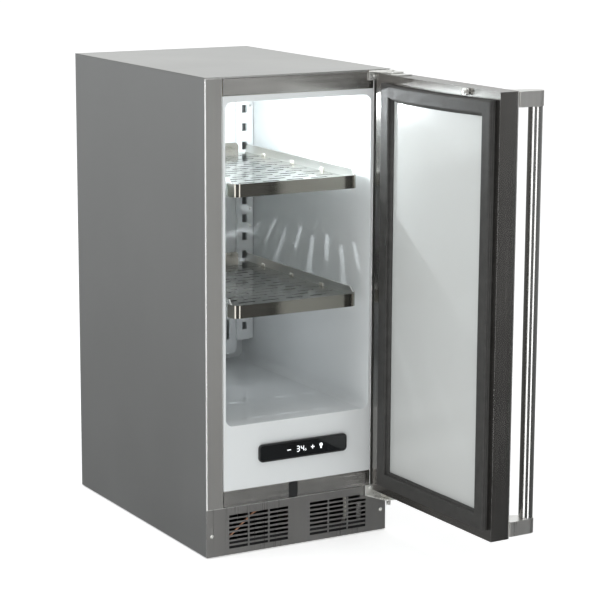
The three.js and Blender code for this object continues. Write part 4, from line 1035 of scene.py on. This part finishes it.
# %% [markdown]
# At each shelf end, three small nylon clips stand between the bracket and the deck and keep the
# deck from rattling. They are moulded, so no edge is sharp. A cube with all its edges
# bevelled gives that in one step, and a share of the deck's depth says where each one is.

# %% Shelf clips
CLIP_LENGTH = 12 * MM
CLIP_THICKNESS = 2.4 * MM
CLIP_RISE = 5.5 * MM
CLIP_DROP = 20 * MM - 0.1 * MM
CLIP_GAP = 0.05 * MM
CLIP_ROUND = 0.7 * MM
CLIP_ROUND_STEPS = 3
CLIP_PLACES = (0.28, 0.55, 0.82)


def rounded_block(low, high):
    shape = bmesh.new()
    bmesh.ops.create_cube(shape, size=1.0)
    size = [b - a for a, b in zip(low, high)]
    middle = [(a + b) / 2 for a, b in zip(low, high)]
    bmesh.ops.scale(shape, vec=size, verts=shape.verts)
    bmesh.ops.translate(shape, vec=middle, verts=shape.verts)
    bmesh.ops.bevel(
        shape, geom=shape.edges, offset=CLIP_ROUND, segments=CLIP_ROUND_STEPS,
        affect="EDGES", profile=0.5, material=-1, clamp_overlap=True,
    )
    return shape


def make_shelf_clips(shelf):
    made = 0
    deck_low, deck_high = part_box(shelf + "_deck")
    foot = deck_high.z - CLIP_DROP
    for side_name, side in (("left", -1), ("right", 1)):
        bracket_low, bracket_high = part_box(f"{shelf}_{side_name}_bracket")
        inner = bracket_high.x if side < 0 else bracket_low.x
        near, far = sorted((inner - side * CLIP_GAP, inner - side * CLIP_THICKNESS))
        for index, share in enumerate(CLIP_PLACES):
            y = deck_low.y + (deck_high.y - deck_low.y) * share
            shape = rounded_block((near, y, foot), (far, y + CLIP_LENGTH, foot + CLIP_RISE))
            name = f"{shelf}_{side_name}_clip_{index + 1}"
            finished_object(name, shape, natural_nylon, shelf)
            made += 1
    return made


print("shelf clips:", make_shelf_clips("upper_shelf") + make_shelf_clips("lower_shelf"))

# %% [markdown]
# Small plated screws hold the evaporator cover to the liner's back wall, in a column outside each
# pilaster. They come from the same maker as the hinge screws, at a smaller radius, because a
# real appliance uses one kind of head throughout.

# %% Cover screws
COVER_SCREW_HEIGHTS = (808, 762, 555, 520, 330)
COVER_SCREW_REACH = 140.5 * MM
COVER_SCREW_SINK = 0.02 * MM
COVER_SCREW_RADIUS = 2.6 * MM
cover_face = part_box("evaporator_cover")[0].y + COVER_SCREW_SINK
for index, height in enumerate(COVER_SCREW_HEIGHTS):
    for side_name, side in (("left", -1), ("right", 1)):
        place = (side * COVER_SCREW_REACH, cover_face, height * MM)
        make_screw(f"cover_screw_{side_name}_{index + 1}", place, FRONT, COVER_SCREW_RADIUS)
print("cover screws:", 2 * len(COVER_SCREW_HEIGHTS))

# %% [markdown]
# The rear panel is held by a column of screws down each side, and the slotted service cover by
# four of its own. Their heads are sunk so that nothing stands past the cabinet's back. Even
# spacing along the panel's height is how such a panel is drilled, so a loop places them.

# %% Rear screws
REAR = (0, 1, 0)
REAR_SCREW_RADIUS = 3.0 * MM
REAR_SCREW_INSET = 24 * MM
REAR_SCREW_SINK = 2.0 * MM
REAR_SCREW_COUNT = 6
SERVICE_SCREW_RADIUS = 2.4 * MM
SERVICE_SCREW_RISE = 6 * MM
rear_low, rear_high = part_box("rear_panel")
service_low, service_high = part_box("rear_service_cover")
rear_face = min(rear_high.y, cad_high[1] - REAR_SCREW_SINK)
service_face = min(service_high.y, cad_high[1] - REAR_SCREW_SINK)
rear_columns = {"left": rear_low.x + REAR_SCREW_INSET, "right": rear_high.x - REAR_SCREW_INSET}
for index in range(REAR_SCREW_COUNT):
    share = (index + 0.5) / REAR_SCREW_COUNT
    height = rear_low.z + (rear_high.z - rear_low.z) * share
    for side_name, x in rear_columns.items():
        name = f"rear_screw_{side_name}_{index + 1}"
        make_screw(name, (x, rear_face, height), REAR, REAR_SCREW_RADIUS)
service_corners = [
    (x, z)
    for x in (service_low.x + REAR_SCREW_INSET, service_high.x - REAR_SCREW_INSET)
    for z in (service_low.z + SERVICE_SCREW_RISE, service_high.z - SERVICE_SCREW_RISE)
]
for index, (x, z) in enumerate(service_corners):
    name = f"service_cover_screw_{index + 1}"
    make_screw(name, (x, service_face, z), REAR, SERVICE_SCREW_RADIUS)
print("rear screws:", 2 * REAR_SCREW_COUNT + len(service_corners))

# %% [markdown]
# A copper suction line and a pale drain hose run behind the toe grille and show through its
# slots. A curve with a round bevel would also do. Here each is a ring of vertices carried
# along a path with rounded bends, which makes a closed mesh with known ends.

# %% Lines behind the grille
LINE_SIDES = 14
BEND_STEPS = 5
BEND_REACH = 12 * MM
BEND_SHARE = 2.2
STEEPEST_SIDE = 0.2
SUCTION_LINE_RADIUS = 2.4 * MM
SUCTION_LINE_PATH = [(-134, -247, 22), (-118, -247, 34), (-78, -247, 66), (-56, -247, 70)]
DRAIN_HOSE_RADIUS = 3.2 * MM
DRAIN_HOSE_PATH = [(118, -244, 74), (118, -246, 52), (119, -246, 30), (119, -236, 14)]


def ring_at(place, forward, radius):
    side = forward.cross(Vector((0, 0, 1)))
    if side.length < STEEPEST_SIDE:
        side = forward.cross(Vector((1, 0, 0)))
    side.normalize()
    up = side.cross(forward).normalized()
    turns = [2 * math.pi * i / LINE_SIDES for i in range(LINE_SIDES)]
    return [place + radius * (math.cos(t) * side + math.sin(t) * up) for t in turns]


def rounded_path(path):
    """The path's points in metres, with each corner drawn as a short curve."""
    points = [Vector([part * MM for part in point]) for point in path]
    walk = [points[0]]
    for before, corner, after in zip(points, points[1:], points[2:]):
        shorter = min((corner - before).length, (after - corner).length)
        reach = min(BEND_REACH, shorter / BEND_SHARE)
        start = corner + (before - corner).normalized() * reach
        end = corner + (after - corner).normalized() * reach
        for step in range(BEND_STEPS + 1):
            t = step / BEND_STEPS
            walk.append(start.lerp(corner, t).lerp(corner.lerp(end, t), t))
    walk.append(points[-1])
    return walk


def make_line(name, path, radius, material):
    walk = rounded_path(path)
    loops = []
    for index, place in enumerate(walk):
        forward = walk[min(index + 1, len(walk) - 1)] - walk[max(index - 1, 0)]
        loops.append(ring_at(place, forward.normalized(), radius))
    return finished_object(name, extruded_loops(loops), material, "cabinet")


suction_line = make_line(
    "suction_line", SUCTION_LINE_PATH, SUCTION_LINE_RADIUS, tube_copper,
)
drain_hose = make_line(
    "drain_hose", DRAIN_HOSE_PATH, DRAIN_HOSE_RADIUS, natural_nylon,
)
print("lines:", suction_line.name, drain_hose.name)

# %% [markdown]
# The display's marks glow white behind the dark window: a minus, two seven-bar digits with a
# degree ring, a plus and a lamp symbol. They could be painted on as a pattern, but real plates
# stay crisp from close by. Each is a thin plate just proud of the glass.

# %% Display face and mark helpers
MARK_THICKNESS = 0.25 * MM
MARK_GAP = 0.02 * MM
DISC_SIDES = 20


def glowing_white():
    finish = Finish("display_marks")
    haze = finish.noise((900, 900, 900), 2.0, 0.5)
    finish.shade(
        Base_Color=finish.tint((0.9, 0.93, 0.95), finish.spread(haze, 0.94, 1.04)),
        Roughness=0.4,
        Emission_Color=(0.95, 0.98, 1.0, 1),
        Emission_Strength=0.85,
    )
    return finish.material


marks_white = glowing_white()
window_low, window_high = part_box("display_window")
mark_middle = (window_low.z + window_high.z) / 2
mark_face = window_low.y - MARK_THICKNESS / 2 - MARK_GAP


def mark_bar(shape, x, z, width, height):
    """Adds one thin bar. Millimetres, z from the middle of the display's height."""
    made = bmesh.ops.create_cube(shape, size=1.0)["verts"]
    bmesh.ops.scale(shape, vec=(width * MM, MARK_THICKNESS, height * MM), verts=made)
    bmesh.ops.translate(shape, vec=(x * MM, mark_face, mark_middle + z * MM), verts=made)


def mark_disc(shape, x, z, radius):
    made = bmesh.ops.create_cone(
        shape, segments=DISC_SIDES, radius1=radius * MM, radius2=radius * MM,
        depth=MARK_THICKNESS, cap_ends=True, matrix=Matrix.Rotation(math.pi / 2, 4, "X"),
    )["verts"]
    bmesh.ops.translate(shape, vec=(x * MM, mark_face, mark_middle + z * MM), verts=made)


print("display face at y", round(mark_face, 4), "middle at z", round(mark_middle, 4))

# %% [markdown]
# A digit is drawn from seven bars, as on the real display. The tables say which bars each digit
# lights and where every mark stands along the window, so a change of temperature is a
# change of table and not of code.

# %% Display marks
SEGMENTS = {
    "top": (0, 1, True), "middle": (0, 0, True), "foot": (0, -1, True),
    "upper_left": (-1, 0.5, False), "upper_right": (1, 0.5, False),
    "lower_left": (-1, -0.5, False), "lower_right": (1, -0.5, False),
}
DIGITS = {
    "three": ["top", "middle", "foot", "upper_right", "lower_right"],
    "four": ["middle", "upper_left", "upper_right", "lower_right"],
}
DIGIT_REACH = 2.6
DIGIT_RISE = 5.0
BAR = 1.35
BAR_INSET = BAR * 0.7
MINUS = (-21.4, 0, 7.5, 1.6)
DIGIT_PLACES = {"three": -2.6, "four": 6.6}
DEGREE_PLACE = (13.0, -3.4)
DEGREE_REACH = 1.5
DEGREE_DOT = 1.3
DEGREE_DOTS = 4
PLUS_PLACE = 28.3
PLUS_LENGTH = 7.4
PLUS_BAR = 1.5
LAMP_BULB = (46.0, 1.8, 3.4)
LAMP_FOOT = (46.0, -3.2, 3.0, 3.6)


def mark_digit(shape, x, digit):
    for name in DIGITS[digit]:
        across, up, flat = SEGMENTS[name]
        size = (DIGIT_REACH * 2 - BAR_INSET, BAR) if flat else (BAR, DIGIT_RISE - BAR_INSET)
        mark_bar(shape, x + across * DIGIT_REACH, up * DIGIT_RISE, *size)


def mark_minus(shape):
    mark_bar(shape, *MINUS)


def mark_digits(shape):
    for digit, x in DIGIT_PLACES.items():
        mark_digit(shape, x, digit)


def mark_degree(shape):
    x, z = DEGREE_PLACE
    for dot in range(DEGREE_DOTS):
        turn = 2 * math.pi * dot / DEGREE_DOTS
        across, up = DEGREE_REACH * math.cos(turn), DEGREE_REACH * math.sin(turn)
        mark_bar(shape, x + across, z + up, DEGREE_DOT, DEGREE_DOT)


def mark_plus(shape):
    mark_bar(shape, PLUS_PLACE, 0, PLUS_LENGTH, PLUS_BAR)
    mark_bar(shape, PLUS_PLACE, 0, PLUS_BAR, PLUS_LENGTH)


def mark_lamp(shape):
    mark_disc(shape, *LAMP_BULB)
    mark_bar(shape, *LAMP_FOOT)


MARKS = {
    "display_minus": mark_minus, "display_digits": mark_digits, "display_degree": mark_degree,
    "display_plus": mark_plus, "display_lamp": mark_lamp,
}
for name, draw in MARKS.items():
    shape = bmesh.new()
    draw(shape)
    finished_object(name, shape, marks_white, "cabinet")
print("display marks:", len(MARKS))

# %% [markdown]
# The compartment lamp is a small bright source in the ceiling. It burns the upper half out to
# white and throws bars of light through the shelf slots onto the right-hand wall, so it
# is a small light rather than a soft one. A second, soft and weak one stands for the light
# that white walls pass on to the space under the lower shelf.

# %% Compartment lamp
LAMP_WATTS = 2.4
LAMP_RADIUS = 0.0025
LAMP_TINT = (0.93, 0.975, 1.0)
LAMP_DROP = 0.0234
GLOW_WATTS = 0.24
GLOW_RADIUS = 0.12
GLOW_TINT = (0.91, 0.95, 1.0)
GLOW_DROP = 70 * MM


def make_point_light(name, place, watts, radius, tint):
    data = bpy.data.lights.new(name, "POINT")
    data.energy = watts
    data.shadow_soft_size = radius
    data.color = tint
    light = bpy.data.objects.new(name, data)
    bpy.context.scene.collection.objects.link(light)
    light.location = place
    return light


lens_low, lens_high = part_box("lamp_lens")
lamp_place = (
    (lens_low.x + lens_high.x) / 2, (lens_low.y + lens_high.y) / 2, lens_low.z - LAMP_DROP,
)
lamp = make_point_light("compartment_lamp", lamp_place, LAMP_WATTS, LAMP_RADIUS, LAMP_TINT)
deck_low, deck_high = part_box("lower_shelf_deck")
glow_place = (0, (deck_low.y + deck_high.y) / 2, deck_low.z - GLOW_DROP)
glow = make_point_light("lower_glow", glow_place, GLOW_WATTS, GLOW_RADIUS, GLOW_TINT)
glow.visible_camera = False
glow.visible_glossy = False
print("compartment lamp at", tuple(round(v, 3) for v in lamp.location), "and", glow.name)
